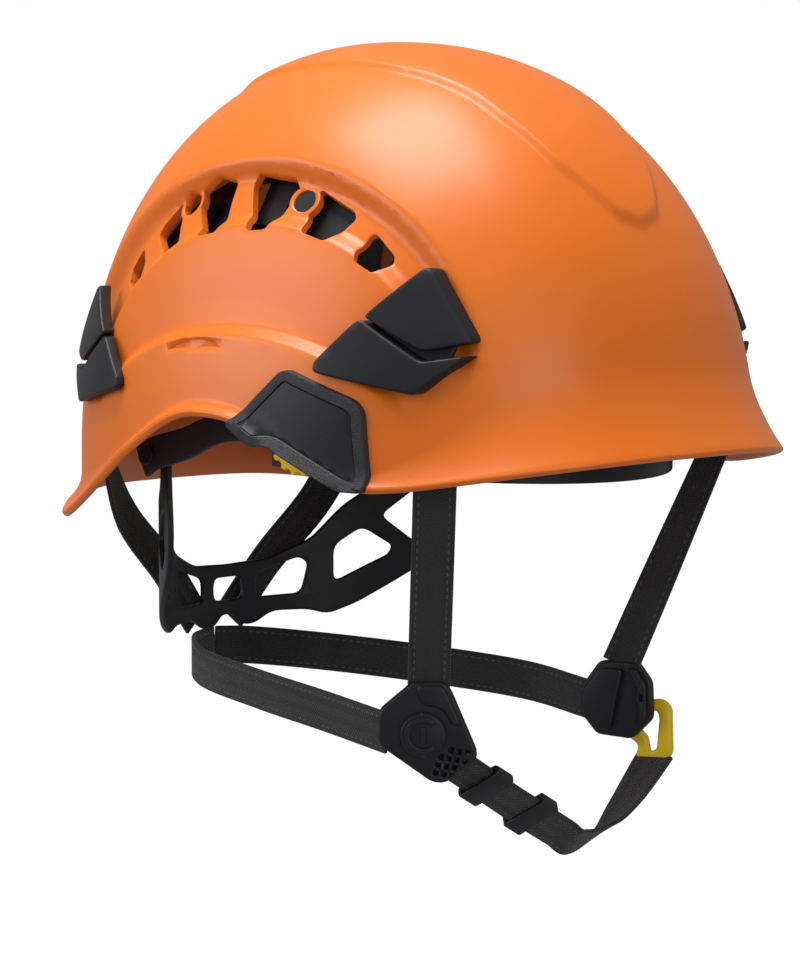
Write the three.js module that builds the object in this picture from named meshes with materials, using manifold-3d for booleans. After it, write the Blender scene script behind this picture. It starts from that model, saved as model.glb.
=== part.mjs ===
// Arborist's climbing helmet: vented moulded shell, webbing cradle, headband with two adjuster
// wheels, folding rear headband and a chin harness. Millimetres, +Z up, the face looks along -Y.
// The origin is the middle of the headband, level with the rim at the temples.
import * as THREE from 'three';
import { mergeVertices } from 'three/addons/utils/BufferGeometryUtils.js';
import Module from 'manifold-3d';

const wasm = await Module();
wasm.setup();

// ---------------------------------------------------------------- driving dimensions
const GAP = 0.3;                       // clearance between pieces that seat on each other
const HARNESS_GAP = 1.8;               // room for a webbing end that meets a fitting at a slant
const SHELL = {
  halfWidth: 110, front: 138.8, back: 117.3, height: 150.7, centreY: 11.5,
  planPower: 2.25, profilePower: 2.12, wall: 3,
};
// Heights of side features are drawn for a 150.7 mm shell, and follow a taller or lower one.
const RISE = SHELL.height / 150.7;
const RIM = {
  level: -6, earTop: 27.5, earY: 5, brimRise: 14, brimStart: -60, brimEnd: -128,
  frontReach: 50, frontPower: 2.6, rearReach: 40, rearPower: 2,
  napeDrop: 16, napeStart: 40, napeEnd: 96, tailRise: 7, tailEnd: 128,
};
const FLARE = {
  side: 3.5, front: 8.5, rear: 4.5, sideHeight: 4.5, frontHeight: 29.5, rearHeight: 11,
  frontStart: -60, frontEnd: -125, rearStart: 40, rearEnd: 100,
};
const BAND = { depth: 5.5, panelDepth: 2 };
const CROWN = { proud: 1.8, root: 1, footShare: 0.4 };
const ARCHES = {                       // centre, half length and height of the three side arches
  vent: { y: 1, z: 25, reach: 98, rise: 85 * RISE, base: 44 * RISE },
  panel: { y: -6, z: 26.6, reach: 76, rise: 60 * RISE, base: 36 * RISE },
  ear: { y: -4, z: 4, reach: 75, rise: 44 * RISE, base: 20 * RISE },
};
const SHUTTER = {
  axisY: 0, axisZ: 12, inner: 74 * RISE, outer: 95 * RISE, thickness: 1.6, room: 4.5, slope: 0.66,
  rearAngle: 54, frontAngle: -31, travel: 7,
};
const PIN = {
  headRadius: 4.4, shaftRadius: 2.2, capRadius: 4.2,
  angles: [24.5, -12.9], reach: [84 * RISE, 81.3 * RISE],
};
const COVER = { proud: 2.2, bed: 1.2 };
const CLIP = { proud: 3.6, bed: 1.4, webProud: -0.4 };
const HEAD = { halfWidth: 88, halfLength: 102, centreY: 2, thickness: 2, frontNarrower: 7 };
const BAND_FRONT = { z: 10, width: 28, endWidth: 18, endAngle: 80 };
const PAD = { angle: 42, thickness: 4, width: 26 };
const ARM = { thickness: 2.4, width: 12, x: 85, z: 14.5, frontY: -45, pastPivot: 6 };
const HOUSING = { frontY: -49, rearY: -11, bottom: 1.5, top: 27.5, wall: 2 };
const WHEEL = {                        // the front edge stays put, so a larger wheel grows backward
  frontY: -44.2, radius: 15.2, thickness: 5, teeth: 18, tooth: 1.5, hubRadius: 6, axisGap: 0.4,
};
const wheelY = WHEEL.frontY + WHEEL.radius;
const PIVOT = { y: 62, z: 1, radius: 2.2, headRadius: 3.6, headThickness: 1.4, armOut: 7 };
const LATTICE = { thickness: 2.2 };
const WEBBING = { width: 15, thickness: 1.5 };
const CRADLE = { width: 18, thickness: 1.2, headroom: 44.7, step: 2.4, inward: 3 };
const DIVIDER = { x: 53, y: -52, z: -93, thickness: 7 };
const DIAL = { radius: 8, thickness: 2.4, u: -1, v: 0 };
const KEEPER = { along: 9, width: 19, thickness: 5, corner: 1, places: [8, 33] };
const HOOK = { u: 8, v: -12, lift: -6, thickness: 4 };
const ANCHOR = {                       // places are angles round the shell and heights
  width: 20, height: 14, thickness: 3.5, corner: 3, standOff: 2.6,
  places: [[48, 12], [90, 32], [142, 3]],
};

// ---------------------------------------------------------------- finishes
const finish = (color, roughness, metalness = 0) =>
  new THREE.MeshStandardMaterial({ color, roughness, metalness });
const ORANGE = finish(0xee7a2e, 0.35);
const BLACK = finish(0x26242b, 0.55);
const WEB = finish(0x17171a, 0.9);
const YELLOW = finish(0xf6c514, 0.4);
const FOAM = finish(0x2c2c30, 0.95);

const helmet = new THREE.Group();

// ---------------------------------------------------------------- geometry helpers
const rad = THREE.MathUtils.degToRad;
const vec = (x, y, z) => new THREE.Vector3(x, y, z);
const smooth = (a, b, v) => {
  const t = THREE.MathUtils.clamp((v - a) / (b - a), 0, 1);
  return t * t * (3 - 2 * t);
};

function toSolid(geometry) {
  const bare = geometry.clone();
  bare.deleteAttribute('normal');
  bare.deleteAttribute('uv');
  const merged = mergeVertices(bare, 1e-4);
  return new wasm.Manifold(new wasm.Mesh({
    numProp: 3,
    vertProperties: new Float32Array(merged.attributes.position.array),
    triVerts: new Uint32Array(merged.index.array),
  }));
}

function fromSolid(solid) {
  const mesh = solid.getMesh();
  const geometry = new THREE.BufferGeometry();
  geometry.setAttribute('position', new THREE.BufferAttribute(mesh.vertProperties, 3));
  geometry.setIndex(new THREE.BufferAttribute(mesh.triVerts, 1));
  return geometry;
}

// The largest body of a cut solid, without the crumbs that grazing cuts leave beside it.
function mainBody(solid) {
  return solid.decompose().sort((a, b) => b.volume() - a.volume())[0];
}

function addPart(name, geometry, material) {
  const mesh = new THREE.Mesh(geometry, material.clone());
  mesh.name = name;
  helmet.add(mesh);
  return mesh;
}

// A copy reflected in the plane x = 0, with its faces turned the right way round again.
function mirrored(geometry) {
  const copy = geometry.index ? geometry.clone() : mergeVertices(geometry);
  const position = copy.attributes.position;
  for (let i = 0; i < position.count; i += 1) position.setX(i, -position.getX(i));
  const index = copy.index.array;
  for (let i = 0; i < index.length; i += 3) {
    const keep = index[i];
    index[i] = index[i + 1];
    index[i + 1] = keep;
  }
  return copy;
}

// The right piece is modelled (x < 0) and the left one is its reflection.
function addPair(name, geometry, material) {
  addPart(`${name}_right`, geometry, material);
  addPart(`${name}_left`, mirrored(geometry), material);
}

function closedMesh(positions, triangles) {
  const geometry = new THREE.BufferGeometry();
  geometry.setAttribute('position', new THREE.BufferAttribute(new Float32Array(positions), 3));
  geometry.setIndex(triangles);
  return geometry;
}

// A shape whose outline runs anticlockwise, which is what its holes need.
function shapeOf(points) {
  const outline = points.map(([u, v]) => new THREE.Vector2(u, v));
  return new THREE.Shape(THREE.ShapeUtils.isClockWise(outline) ? outline.reverse() : outline);
}

const pathOf = (points) => new THREE.Path(points.map(([u, v]) => new THREE.Vector2(u, v)));

// A rectangle of half width w and half height h whose corners are cut off.
const cutCorners = (w, h, corner) => [
  [-w, -h + corner], [-w + corner, -h], [w - corner, -h], [w, -h + corner],
  [w, h - corner], [w - corner, h], [-w + corner, h], [-w, h - corner],
];

// Moves each corner of an outline outward (or inward) by the same distance.
function grown(points, distance) {
  const turn = Math.sign(THREE.ShapeUtils.area(points.map(([u, v]) => new THREE.Vector2(u, v))));
  return points.map(([u, v], i) => {
    const [pu, pv] = points[(i + points.length - 1) % points.length];
    const [nu, nv] = points[(i + 1) % points.length];
    const a = new THREE.Vector2(u - pu, v - pv).normalize();
    const b = new THREE.Vector2(nu - u, nv - v).normalize();
    const normalA = new THREE.Vector2(a.y, -a.x).multiplyScalar(turn);
    const normalB = new THREE.Vector2(b.y, -b.x).multiplyScalar(turn);
    const miter = normalA.clone().add(normalB).normalize();
    const reach = distance / Math.max(miter.dot(normalA), 0.5);
    return [u + miter.x * reach, v + miter.y * reach];
  });
}

// An outline in the side view (y, z) pushed along x between two values.
function sidePrism(points, fromX, toX) {
  const geometry = new THREE.ExtrudeGeometry(shapeOf(points), {
    depth: toX - fromX, bevelEnabled: false, steps: 1, curveSegments: 8,
  });
  const basis = new THREE.Matrix4().makeBasis(vec(0, 1, 0), vec(0, 0, 1), vec(1, 0, 0));
  geometry.applyMatrix4(basis);
  geometry.translate(fromX, 0, 0);
  return geometry;
}

// A flat bar of the given width swept along a smooth line; `across` gives its width direction.
function ribbon(points, across, width, thickness, steps) {
  const curve = new THREE.CatmullRomCurve3(points, false, 'centripetal');
  const positions = [];
  const triangles = [];
  for (let i = 0; i <= steps; i += 1) {
    const u = i / steps;
    const place = u * (points.length - 1);
    const k = Math.min(Math.floor(place), points.length - 2);
    const centre = curve.getPoint(u);
    const tangent = curve.getTangent(u);
    const side = across[k].clone().lerp(across[k + 1], place - k);
    side.addScaledVector(tangent, -side.dot(tangent)).normalize();
    const out = tangent.clone().cross(side).multiplyScalar(thickness / 2);
    const w = typeof width === 'function' ? width(u) : width;
    side.multiplyScalar(w / 2);
    for (const [a, b] of [[-1, -1], [1, -1], [1, 1], [-1, 1]]) {
      const corner = centre.clone().addScaledVector(side, a).addScaledVector(out, b);
      positions.push(corner.x, corner.y, corner.z);
    }
  }
  for (let i = 0; i < steps; i += 1) {
    for (let c = 0; c < 4; c += 1) {
      const a = i * 4 + c;
      const b = i * 4 + ((c + 1) % 4);
      triangles.push(a, b, b + 4, a, b + 4, a + 4);
    }
  }
  const last = steps * 4;
  triangles.push(0, 2, 1, 0, 3, 2, last, last + 1, last + 2, last, last + 2, last + 3);
  return closedMesh(positions, triangles);
}

// ---------------------------------------------------------------- shell surface
function rimZ(y) {
  const [reach, bend] = y < RIM.earY ? [RIM.frontReach, RIM.frontPower] : [RIM.rearReach, RIM.rearPower];
  const ear = RIM.earTop * Math.exp(-((Math.abs(y - RIM.earY) / reach) ** bend));
  const brim = RIM.brimRise * THREE.MathUtils.clamp(
    (y - RIM.brimStart) / (RIM.brimEnd - RIM.brimStart), 0, 1);
  const drop = RIM.napeDrop * smooth(RIM.napeStart, RIM.napeEnd, y);
  const tail = RIM.tailRise * smooth(RIM.napeEnd, RIM.tailEnd, y);
  return RIM.level + ear + brim - drop + tail;
}

function flareAt(y) {
  const front = smooth(FLARE.frontStart, FLARE.frontEnd, y);
  const rear = smooth(FLARE.rearStart, FLARE.rearEnd, y);
  return {
    out: FLARE.side + FLARE.front * front + FLARE.rear * rear,
    height: FLARE.sideHeight + FLARE.frontHeight * front + FLARE.rearHeight * rear,
  };
}

const power = (v, e) => Math.sign(v) * Math.abs(v) ** e;
const COLUMNS = 40;
const ROWS = 9;

// Point of the shell's outer surface, moved out by `offset`: angle 0 is the front.
function shellPoint(angle, z, offset) {
  const height = SHELL.height + offset;
  const share = Math.max(z, 0) / height;
  const spread = (1 - Math.min(share, 1) ** SHELL.profilePower) ** (1 / SHELL.profilePower);
  const across = power(Math.sin(angle), 2 / SHELL.planPower);
  const along = -power(Math.cos(angle), 2 / SHELL.planPower);
  const reach = (along < 0 ? SHELL.front : SHELL.back) + offset;
  return vec((SHELL.halfWidth + offset) * spread * across, SHELL.centreY + reach * spread * along, z);
}

function rimPoint(angle) {
  const base = shellPoint(angle, 0, 0);
  return { base, z: rimZ(base.y), flare: flareAt(base.y) };
}

// Closed body under the shell surface moved out by `offset`, its foot `below` under the rim.
function domeSolid(offset, below, footZ) {
  const positions = [];
  const triangles = [];
  const levels = 5;
  const rows = levels + ROWS;
  for (let r = 0; r < rows; r += 1) {
    for (let c = 0; c < COLUMNS; c += 1) {
      const angle = (c / COLUMNS) * 2 * Math.PI;
      const { base, z: rim, flare } = rimPoint(angle);
      const outward = vec(base.x, base.y - SHELL.centreY, 0).normalize();
      let z;
      if (r < levels) {
        z = rim + [-below, 0, flare.height * 0.35, flare.height * 0.68, flare.height][r];
      } else {
        const top = SHELL.height + offset;
        const start = Math.asin((Math.max(rim + flare.height, 0) / top) ** (SHELL.profilePower / 2));
        const turn = start + (Math.PI / 2 - start) * ((r - levels + 1) / (ROWS + 0.35));
        z = top * Math.sin(turn) ** (2 / SHELL.profilePower);
      }
      const point = shellPoint(angle, z, offset);
      const rise = THREE.MathUtils.clamp((z - rim) / flare.height, 0, 1);
      point.addScaledVector(outward, flare.out * (1 - rise) ** 2);
      positions.push(point.x, point.y, point.z);
    }
  }
  for (let r = 0; r < rows - 1; r += 1) {
    for (let c = 0; c < COLUMNS; c += 1) {
      const a = r * COLUMNS + c;
      const b = r * COLUMNS + ((c + 1) % COLUMNS);
      const [low, high] = c < COLUMNS / 2 ? [a, b + COLUMNS] : [b, a + COLUMNS];
      triangles.push(a, b, high, low, b + COLUMNS, a + COLUMNS);
    }
  }
  positions.push(0, SHELL.centreY, SHELL.height + offset, 0, SHELL.centreY, footZ);
  const crown = rows * COLUMNS;
  for (let c = 0; c < COLUMNS; c += 1) {
    const next = (c + 1) % COLUMNS;
    triangles.push((rows - 1) * COLUMNS + c, (rows - 1) * COLUMNS + next, crown);
    triangles.push(next, c, crown + 1);
  }
  return toSolid(closedMesh(positions, triangles));
}

const FOOT = -14;
const DEEP_FOOT = -70;
const domes = new Map();
function dome(offset, deep = false) {
  const key = `${offset}/${deep}`;
  if (!domes.has(key)) domes.set(key, deep ? domeSolid(offset, 6, DEEP_FOOT) : domeSolid(offset, 0, FOOT));
  return domes.get(key);
}

// ---------------------------------------------------------------- side outlines (y, z)
const FAR_X = 160;
function archOutline({ y, z, reach, rise, base }, extra) {
  const start = Math.asin((base - z) / rise);
  const points = [];
  for (let i = 0; i <= 18; i += 1) {
    const turn = start + (Math.PI - 2 * start) * (i / 18);
    points.push([y + (reach + extra) * Math.cos(turn), z + (rise + extra) * Math.sin(turn)]);
  }
  return points;
}
const MIDDLE_X = 30;
const throughPrism = (points) => toSolid(sidePrism(points, -FAR_X, FAR_X));
const rightPrism = (points) => toSolid(sidePrism(points, -FAR_X, -MIDDLE_X));
const risen = (points) => points.map(([y, z]) => [y, z * RISE]);

const VENTS = [
  [[65, 77], [61, 73.5], [61.5, 65], [68.5, 66.5], [69.5, 70.5]],
  [[44.5, 95], [42, 91], [38.8, 81], [45, 78], [54, 84.5], [52, 88]],
  [[17.5, 103], [14.5, 85.3], [21.8, 84], [32.2, 97.5], [31.8, 100], [24.5, 103.5]],
  [[6, 103.5], [4.5, 105], [-11.7, 103.4], [-13.8, 101], [-9.3, 86.8], [-2.8, 86.3]],
  [[-23.5, 98.5], [-25.5, 99.5], [-40.4, 92.6], [-41.6, 91], [-35.9, 83.2], [-27.4, 85.7]],
  [[-52.2, 84.5], [-60.2, 77.4], [-60.6, 75.6], [-57.1, 72.2], [-50.9, 75.6], [-50.2, 78.2]],
];
const LEDGE_SLOT = [[27, 42.2], [18, 45.2], [6, 46.2], [-3, 45.6], [-4, 44.2], [6, 43.8], [18, 43]];
const COVER_OUTLINE = [
  [-12.8, 17.5], [-32, 36.3], [-35.2, 37], [-60.5, 27.2], [-63.7, 23.2], [-66.8, -4.2],
  [-58, -3.8], [-30.8, 10.6], [-23.7, 10.3],
];
const CLIP_UPPER = risen([
  [-60.7, 55.6], [-76, 72.3], [-78.5, 71.4], [-93.5, 48.8], [-93.8, 47], [-82.2, 44.3], [-79.6, 44.8],
]);
const CLIP_LOWER = risen([
  [-45.6, 37.4], [-45.8, 40], [-58.4, 54], [-60.4, 54.4], [-80.8, 40.6], [-94, 42.8], [-80, 29.3],
  [-46.8, 36.2],
]);
const CLIP_WEB = risen([[-62, 50], [-61, 57], [-74, 60], [-88, 48], [-86, 38], [-76, 38]]);
// The rear clip is the same moulding turned about and set lower.
const REAR_CLIP = { mirrorY: 1, drop: 9 };
const turnedBack = (points) => points.map(([y, z]) => [2 * REAR_CLIP.mirrorY - y, z - REAR_CLIP.drop]);

// ---------------------------------------------------------------- shell
function crownRidge() {
  const half = [[0, -104], [11, -101.5], [17, -95], [24, -86], [29, -66], [30, -53], [35, -23],
    [38.5, 29], [34, 50], [22, 78], [0, 88]];
  const outline = [...half, ...half.slice(1, -1).reverse().map(([x, y]) => [-x, y])];
  const prism = new THREE.ExtrudeGeometry(shapeOf(outline), { depth: SHELL.height, bevelEnabled: false });
  prism.translate(0, 0, SHELL.height * CROWN.footShare);
  return toSolid(prism).intersect(dome(CROWN.proud)).subtract(dome(-CROWN.root));
}

function recessed(shape, arch, hole, depth, grow) {
  const ring = throughPrism(archOutline(arch, grow)).subtract(throughPrism(archOutline(hole, -grow)));
  return shape.subtract(ring.subtract(dome(-depth, true)));
}

function makeShell() {
  let outer = dome(0).add(crownRidge());
  outer = recessed(outer, ARCHES.vent, ARCHES.panel, BAND.depth, 0);
  outer = recessed(outer, ARCHES.panel, ARCHES.ear, BAND.panelDepth, 0);
  let cavity = dome(-SHELL.wall, true);
  cavity = recessed(cavity, ARCHES.vent, ARCHES.panel, BAND.depth + SHELL.wall, SHELL.wall);
  let shell = outer.subtract(cavity);
  for (const vent of VENTS) shell = shell.subtract(throughPrism(risen(vent)));
  shell = shell.subtract(throughPrism(risen(LEDGE_SLOT)));
  for (const [outline, bed] of [[COVER_OUTLINE, COVER.bed], [CLIP_UPPER, CLIP.bed],
    [CLIP_LOWER, CLIP.bed], [CLIP_WEB, CLIP.bed], [turnedBack(CLIP_UPPER), CLIP.bed],
    [turnedBack(CLIP_LOWER), CLIP.bed], [turnedBack(CLIP_WEB), CLIP.bed]]) {
    const bedding = throughPrism(grown(outline, GAP)).subtract(dome(-bed - GAP, true));
    shell = shell.subtract(bedding);
  }
  for (const hole of pinHoles()) shell = shell.subtract(hole);
  return mainBody(shell);
}

// ---------------------------------------------------------------- vent shutters and their pins
const coneTilt = Math.atan(SHUTTER.slope);
const quarter = Math.PI / 2;
const shutterFace = -shellPoint(-quarter, SHUTTER.axisZ + SHUTTER.inner, 0).x
  - BAND.depth - SHELL.wall - SHUTTER.room;

// A placement on the shutter's cone: turn about the lateral axis, then reach out from it.
function conePlace(angle, reach, lift) {
  const x = -(shutterFace - (reach - SHUTTER.inner) * SHUTTER.slope) - lift * Math.cos(coneTilt);
  const r = reach + lift * Math.sin(coneTilt);
  const a = rad(angle);
  return vec(x, SHUTTER.axisY + r * Math.sin(a), SHUTTER.axisZ + r * Math.cos(a));
}

function coneNormal(angle) {
  const a = rad(angle);
  const up = Math.sin(coneTilt);
  return vec(-Math.cos(coneTilt), up * Math.sin(a), up * Math.cos(a));
}

function coneDisc(angle, reach, fromLift, toLift, radius, sides) {
  const disc = new THREE.CylinderGeometry(radius, radius, toLift - fromLift, sides);
  disc.applyQuaternion(new THREE.Quaternion().setFromUnitVectors(vec(0, 1, 0), coneNormal(angle)));
  const middle = conePlace(angle, reach, (fromLift + toLift) / 2);
  return disc.translate(middle.x, middle.y, middle.z);
}

function pinHoles() {
  return PIN.angles.flatMap((angle, i) => {
    const right = coneDisc(angle, PIN.reach[i], 0.6, 30, PIN.headRadius + GAP, 16);
    return [toSolid(right), toSolid(mirrored(right))];
  });
}

// A sector of the cone between two angles and two reaches.
function coneSector(fromAngle, toAngle, fromReach, toReach, fromLift, toLift) {
  const positions = [];
  const triangles = [];
  const steps = Math.max(1, Math.ceil((toAngle - fromAngle) / 7));
  for (let i = 0; i <= steps; i += 1) {
    const angle = fromAngle + ((toAngle - fromAngle) * i) / steps;
    const corners = [[fromReach, fromLift], [toReach, fromLift], [toReach, toLift], [fromReach, toLift]];
    for (const [reach, lift] of corners) {
      const p = conePlace(angle, reach, lift);
      positions.push(p.x, p.y, p.z);
    }
  }
  for (let i = 0; i < steps; i += 1) {
    for (let c = 0; c < 4; c += 1) {
      const a = i * 4 + c;
      const b = i * 4 + ((c + 1) % 4);
      triangles.push(a, b + 4, b, a, a + 4, b + 4);
    }
  }
  const last = steps * 4;
  triangles.push(0, 1, 2, 0, 2, 3, last, last + 2, last + 1, last, last + 3, last + 2);
  return toSolid(closedMesh(positions, triangles));
}

const SHUTTER_WINDOWS = [[37, 43], [5, 9.5]];
const SHUTTER_FRAME = 5;
function makeShutter() {
  const { rearAngle, frontAngle, inner, outer, thickness, travel } = SHUTTER;
  let plate = coneSector(frontAngle, rearAngle, inner, outer, -thickness, 0);
  for (const [from, to] of SHUTTER_WINDOWS) {
    plate = plate.subtract(coneSector(from, to, inner + SHUTTER_FRAME, outer - SHUTTER_FRAME,
      -thickness - 1, 1));
  }
  PIN.angles.forEach((angle, i) => {
    const slotRadius = PIN.shaftRadius + 2 * GAP;
    const reach = PIN.reach[i];
    plate = plate.subtract(coneSector(angle, angle + travel, reach - slotRadius, reach + slotRadius,
      -thickness - 1, 1));
    for (const end of [angle, angle + travel]) {
      plate = plate.subtract(toSolid(coneDisc(end, reach, -thickness - 1, 1, slotRadius, 12)));
    }
  });
  return fromSolid(mainBody(plate));
}

function makePins() {
  ['rear', 'front'].forEach((place, i) => {
    const angle = PIN.angles[i];
    const reach = PIN.reach[i];
    const { thickness } = SHUTTER;
    const head = toSolid(coneDisc(angle, reach, 0.8, 5.2, PIN.headRadius, 16));
    const shaft = toSolid(coneDisc(angle, reach, -thickness - 1, 1.5, PIN.shaftRadius, 8));
    const cap = toSolid(coneDisc(angle, reach, -thickness - 1.8, -thickness - 0.4, PIN.capRadius, 12));
    addPair(`shutter_pin_${place}`, fromSolid(head.add(shaft).add(cap)), BLACK);
  });
}

// ---------------------------------------------------------------- clips and covers
function surfacePlate(outline, proud, bed) {
  return rightPrism(outline).intersect(dome(proud)).subtract(dome(-bed, true));
}

function makeLampClip(place, turn) {
  const upper = surfacePlate(turn(CLIP_UPPER), CLIP.proud, CLIP.bed);
  const lower = surfacePlate(turn(CLIP_LOWER), CLIP.proud, CLIP.bed);
  const web = surfacePlate(turn(CLIP_WEB), CLIP.webProud, CLIP.bed);
  addPair(`lamp_clip_${place}`, fromSolid(mainBody(upper.add(lower).add(web))), BLACK);
}

function makeSlotCover() {
  return fromSolid(mainBody(surfacePlate(COVER_OUTLINE, COVER.proud, COVER.bed)));
}

// ---------------------------------------------------------------- headband
// Angle 0 is the forehead; `out` moves the point outward from the head.
function headPoint(angle, z, out, narrower = 0) {
  const a = rad(angle);
  const x = (HEAD.halfWidth - narrower + out) * Math.sin(a);
  return vec(x, HEAD.centreY - (HEAD.halfLength + out) * Math.cos(a), z);
}

function headArc(endAngle, z, out, count) {
  const points = [];
  for (let i = 0; i <= count; i += 1) {
    points.push(headPoint(-endAngle + (2 * endAngle * i) / count, z, out, HEAD.frontNarrower));
  }
  return points;
}

function makeHeadbandFront() {
  const points = headArc(BAND_FRONT.endAngle, BAND_FRONT.z, 0, 16);
  const up = points.map(() => vec(0, 0, 1));
  const width = (u) => BAND_FRONT.width - (BAND_FRONT.width - BAND_FRONT.endWidth) * Math.abs(2 * u - 1) ** 2;
  return ribbon(points, up, width, HEAD.thickness, 32);
}

function makeForeheadPad() {
  const inside = -(HEAD.thickness / 2 + GAP + PAD.thickness / 2);
  const points = headArc(PAD.angle, BAND_FRONT.z, inside, 8);
  return ribbon(points, points.map(() => vec(0, 0, 1)), PAD.width, PAD.thickness, 16);
}

// ---------------------------------------------------------------- adjuster: housings, wheels, arms
const armOuter = ARM.x + ARM.thickness / 2;
const armInner = ARM.x - ARM.thickness / 2;
const housingOuter = armOuter + GAP + HOUSING.wall;
const housingInner = armInner - GAP - HOUSING.wall;

function box(x0, x1, y0, y1, z0, z1) {
  const geometry = new THREE.BoxGeometry(x1 - x0, y1 - y0, z1 - z0);
  return toSolid(geometry.translate((x0 + x1) / 2, (y0 + y1) / 2, (z0 + z1) / 2));
}

function makeHousing() {
  const half = ARM.width / 2 + GAP;
  const body = box(-housingOuter, -housingInner, HOUSING.frontY, HOUSING.rearY, HOUSING.bottom, HOUSING.top);
  const channel = box(-armOuter - GAP, -armInner + GAP, HOUSING.frontY - 1, HOUSING.rearY + 1,
    ARM.z - half, ARM.z + half);
  const bore = new THREE.CylinderGeometry(WHEEL.hubRadius + GAP, WHEEL.hubRadius + GAP, 12, 24);
  bore.rotateZ(Math.PI / 2).translate(-housingOuter - 6 + HOUSING.wall + 0.2, wheelY, ARM.z);
  return fromSolid(body.subtract(channel).subtract(toSolid(bore)));
}

function makeWheel() {
  const outline = [];
  const count = WHEEL.teeth * 4;
  for (let i = 0; i < count; i += 1) {
    const turn = (i / count) * 2 * Math.PI;
    const radius = WHEEL.radius - (i % 4 < 2 ? 0 : WHEEL.tooth);
    outline.push([wheelY + radius * Math.cos(turn), ARM.z + radius * Math.sin(turn)]);
  }
  const outerFace = -housingOuter - WHEEL.axisGap - WHEEL.thickness;
  const disc = toSolid(sidePrism(outline, outerFace, outerFace + WHEEL.thickness));
  const hubLength = WHEEL.thickness + HOUSING.wall;
  const hub = new THREE.CylinderGeometry(WHEEL.hubRadius, WHEEL.hubRadius, hubLength, 24);
  hub.rotateZ(Math.PI / 2);
  hub.translate(outerFace + hubLength / 2 + 0.2, wheelY, ARM.z);
  return fromSolid(disc.add(toSolid(hub)));
}

// The pivot eye lies on the head's outline where the arm ends.
function pivotX() {
  const share = (PIVOT.y - HEAD.centreY) / HEAD.halfLength;
  return HEAD.halfWidth * Math.sqrt(1 - share * share);
}
const armEndX = pivotX() + PIVOT.armOut;

function pivotBore(radius) {
  const bore = new THREE.CylinderGeometry(radius, radius, 40, 16);
  return toSolid(bore.rotateZ(Math.PI / 2).translate(-pivotX(), PIVOT.y, PIVOT.z));
}

function makeSideArm() {
  const points = [vec(-ARM.x, ARM.frontY, ARM.z), vec(-ARM.x, -20, ARM.z), vec(-ARM.x, 4, ARM.z),
    vec(-ARM.x + 0.4, 20, ARM.z - 1.5), vec(-ARM.x + 3.5, 40, ARM.z - 8),
    vec(-armEndX, PIVOT.y, PIVOT.z), vec(-armEndX + 1, PIVOT.y + ARM.pastPivot, PIVOT.z - 3)];
  const up = points.map((p, i) => vec(0, i < 4 ? 0 : 0.2 * (i - 3), 1));
  const bar = ribbon(points, up, ARM.width, ARM.thickness, 30);
  return fromSolid(toSolid(bar).subtract(pivotBore(PIVOT.radius + GAP)));
}

function makePivotPin() {
  const outer = armEndX + ARM.thickness / 2 + 4 * GAP;
  const inner = pivotX() - LATTICE.thickness - 3.6;
  const shaft = new THREE.CylinderGeometry(PIVOT.radius, PIVOT.radius, outer - inner, 16);
  const solids = [shaft.rotateZ(Math.PI / 2).translate(-(outer + inner) / 2, PIVOT.y, PIVOT.z)];
  for (const x of [outer + PIVOT.headThickness / 2, inner - PIVOT.headThickness / 2]) {
    const head = new THREE.CylinderGeometry(PIVOT.headRadius, PIVOT.headRadius, PIVOT.headThickness, 20);
    solids.push(head.rotateZ(Math.PI / 2).translate(-x, PIVOT.y, PIVOT.z));
  }
  const [middle, outside, inside] = solids.map(toSolid);
  return fromSolid(middle.add(outside).add(inside));
}

// ---------------------------------------------------------------- rear headband lattice
const LATTICE_EDGE = [
  [0, -49], [20, -48], [39, -41], [52, -28], [64, -20], [78, -12], [80.5, -3], [80, 3], [83, 7],
  [88, 7], [91.5, 3], [92, -4], [93, -14], [95, -28], [93, -42], [85, -51], [72, -59], [58, -67],
  [46, -71.5], [38, -69.2], [22, -69], [14, -73.5], [8, -73.5], [3, -69], [0, -68.8],
];
const LATTICE_HOLES = [
  [[14.5, -63], [14.5, -53.5], [34, -48], [38, -50.5], [35, -62.5]],
  [[48.5, -44], [60, -36.5], [72, -44], [70.5, -47.5], [48.5, -58.5]],
  [[67.5, -32], [81, -21.5], [87, -19.5], [88.5, -36], [83.5, -42.5], [80, -41.5]],
];
const CENTRE_HOLE = [[-8, -63], [-8, -54], [8, -54], [8, -63]];

// Adds corners along the straight edges so that they can bend; each edge bows by a hair.
function densified(points, limit) {
  return points.flatMap(([u, v], i) => {
    const [nu, nv] = points[(i + 1) % points.length];
    const length = Math.hypot(nu - u, nv - v);
    const count = Math.max(1, Math.ceil(length / limit));
    return Array.from({ length: count }, (_, k) => {
      const bow = 0.06 * Math.sin(Math.PI * (k / count));
      return [u + ((nu - u) * k) / count + ((nv - v) / length) * bow,
        v + ((nv - v) * k) / count - ((nu - u) / length) * bow];
    });
  });
}

// Length along the back of the head from the nape's middle, turned into an angle.
const ARC_TABLE = [];
for (let angle = 0, length = 0; angle <= 80; angle += 1) {
  ARC_TABLE.push(length);
  const a = rad(angle + 0.5);
  length += rad(1) * Math.hypot(HEAD.halfWidth * Math.cos(a), HEAD.halfLength * Math.sin(a));
}
function backAngle(length) {
  const wanted = Math.abs(length);
  const k = ARC_TABLE.findIndex((value) => value > wanted) - 1;
  const share = (wanted - ARC_TABLE[k]) / (ARC_TABLE[k + 1] - ARC_TABLE[k]);
  return Math.sign(length) * (k + share);
}

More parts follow.
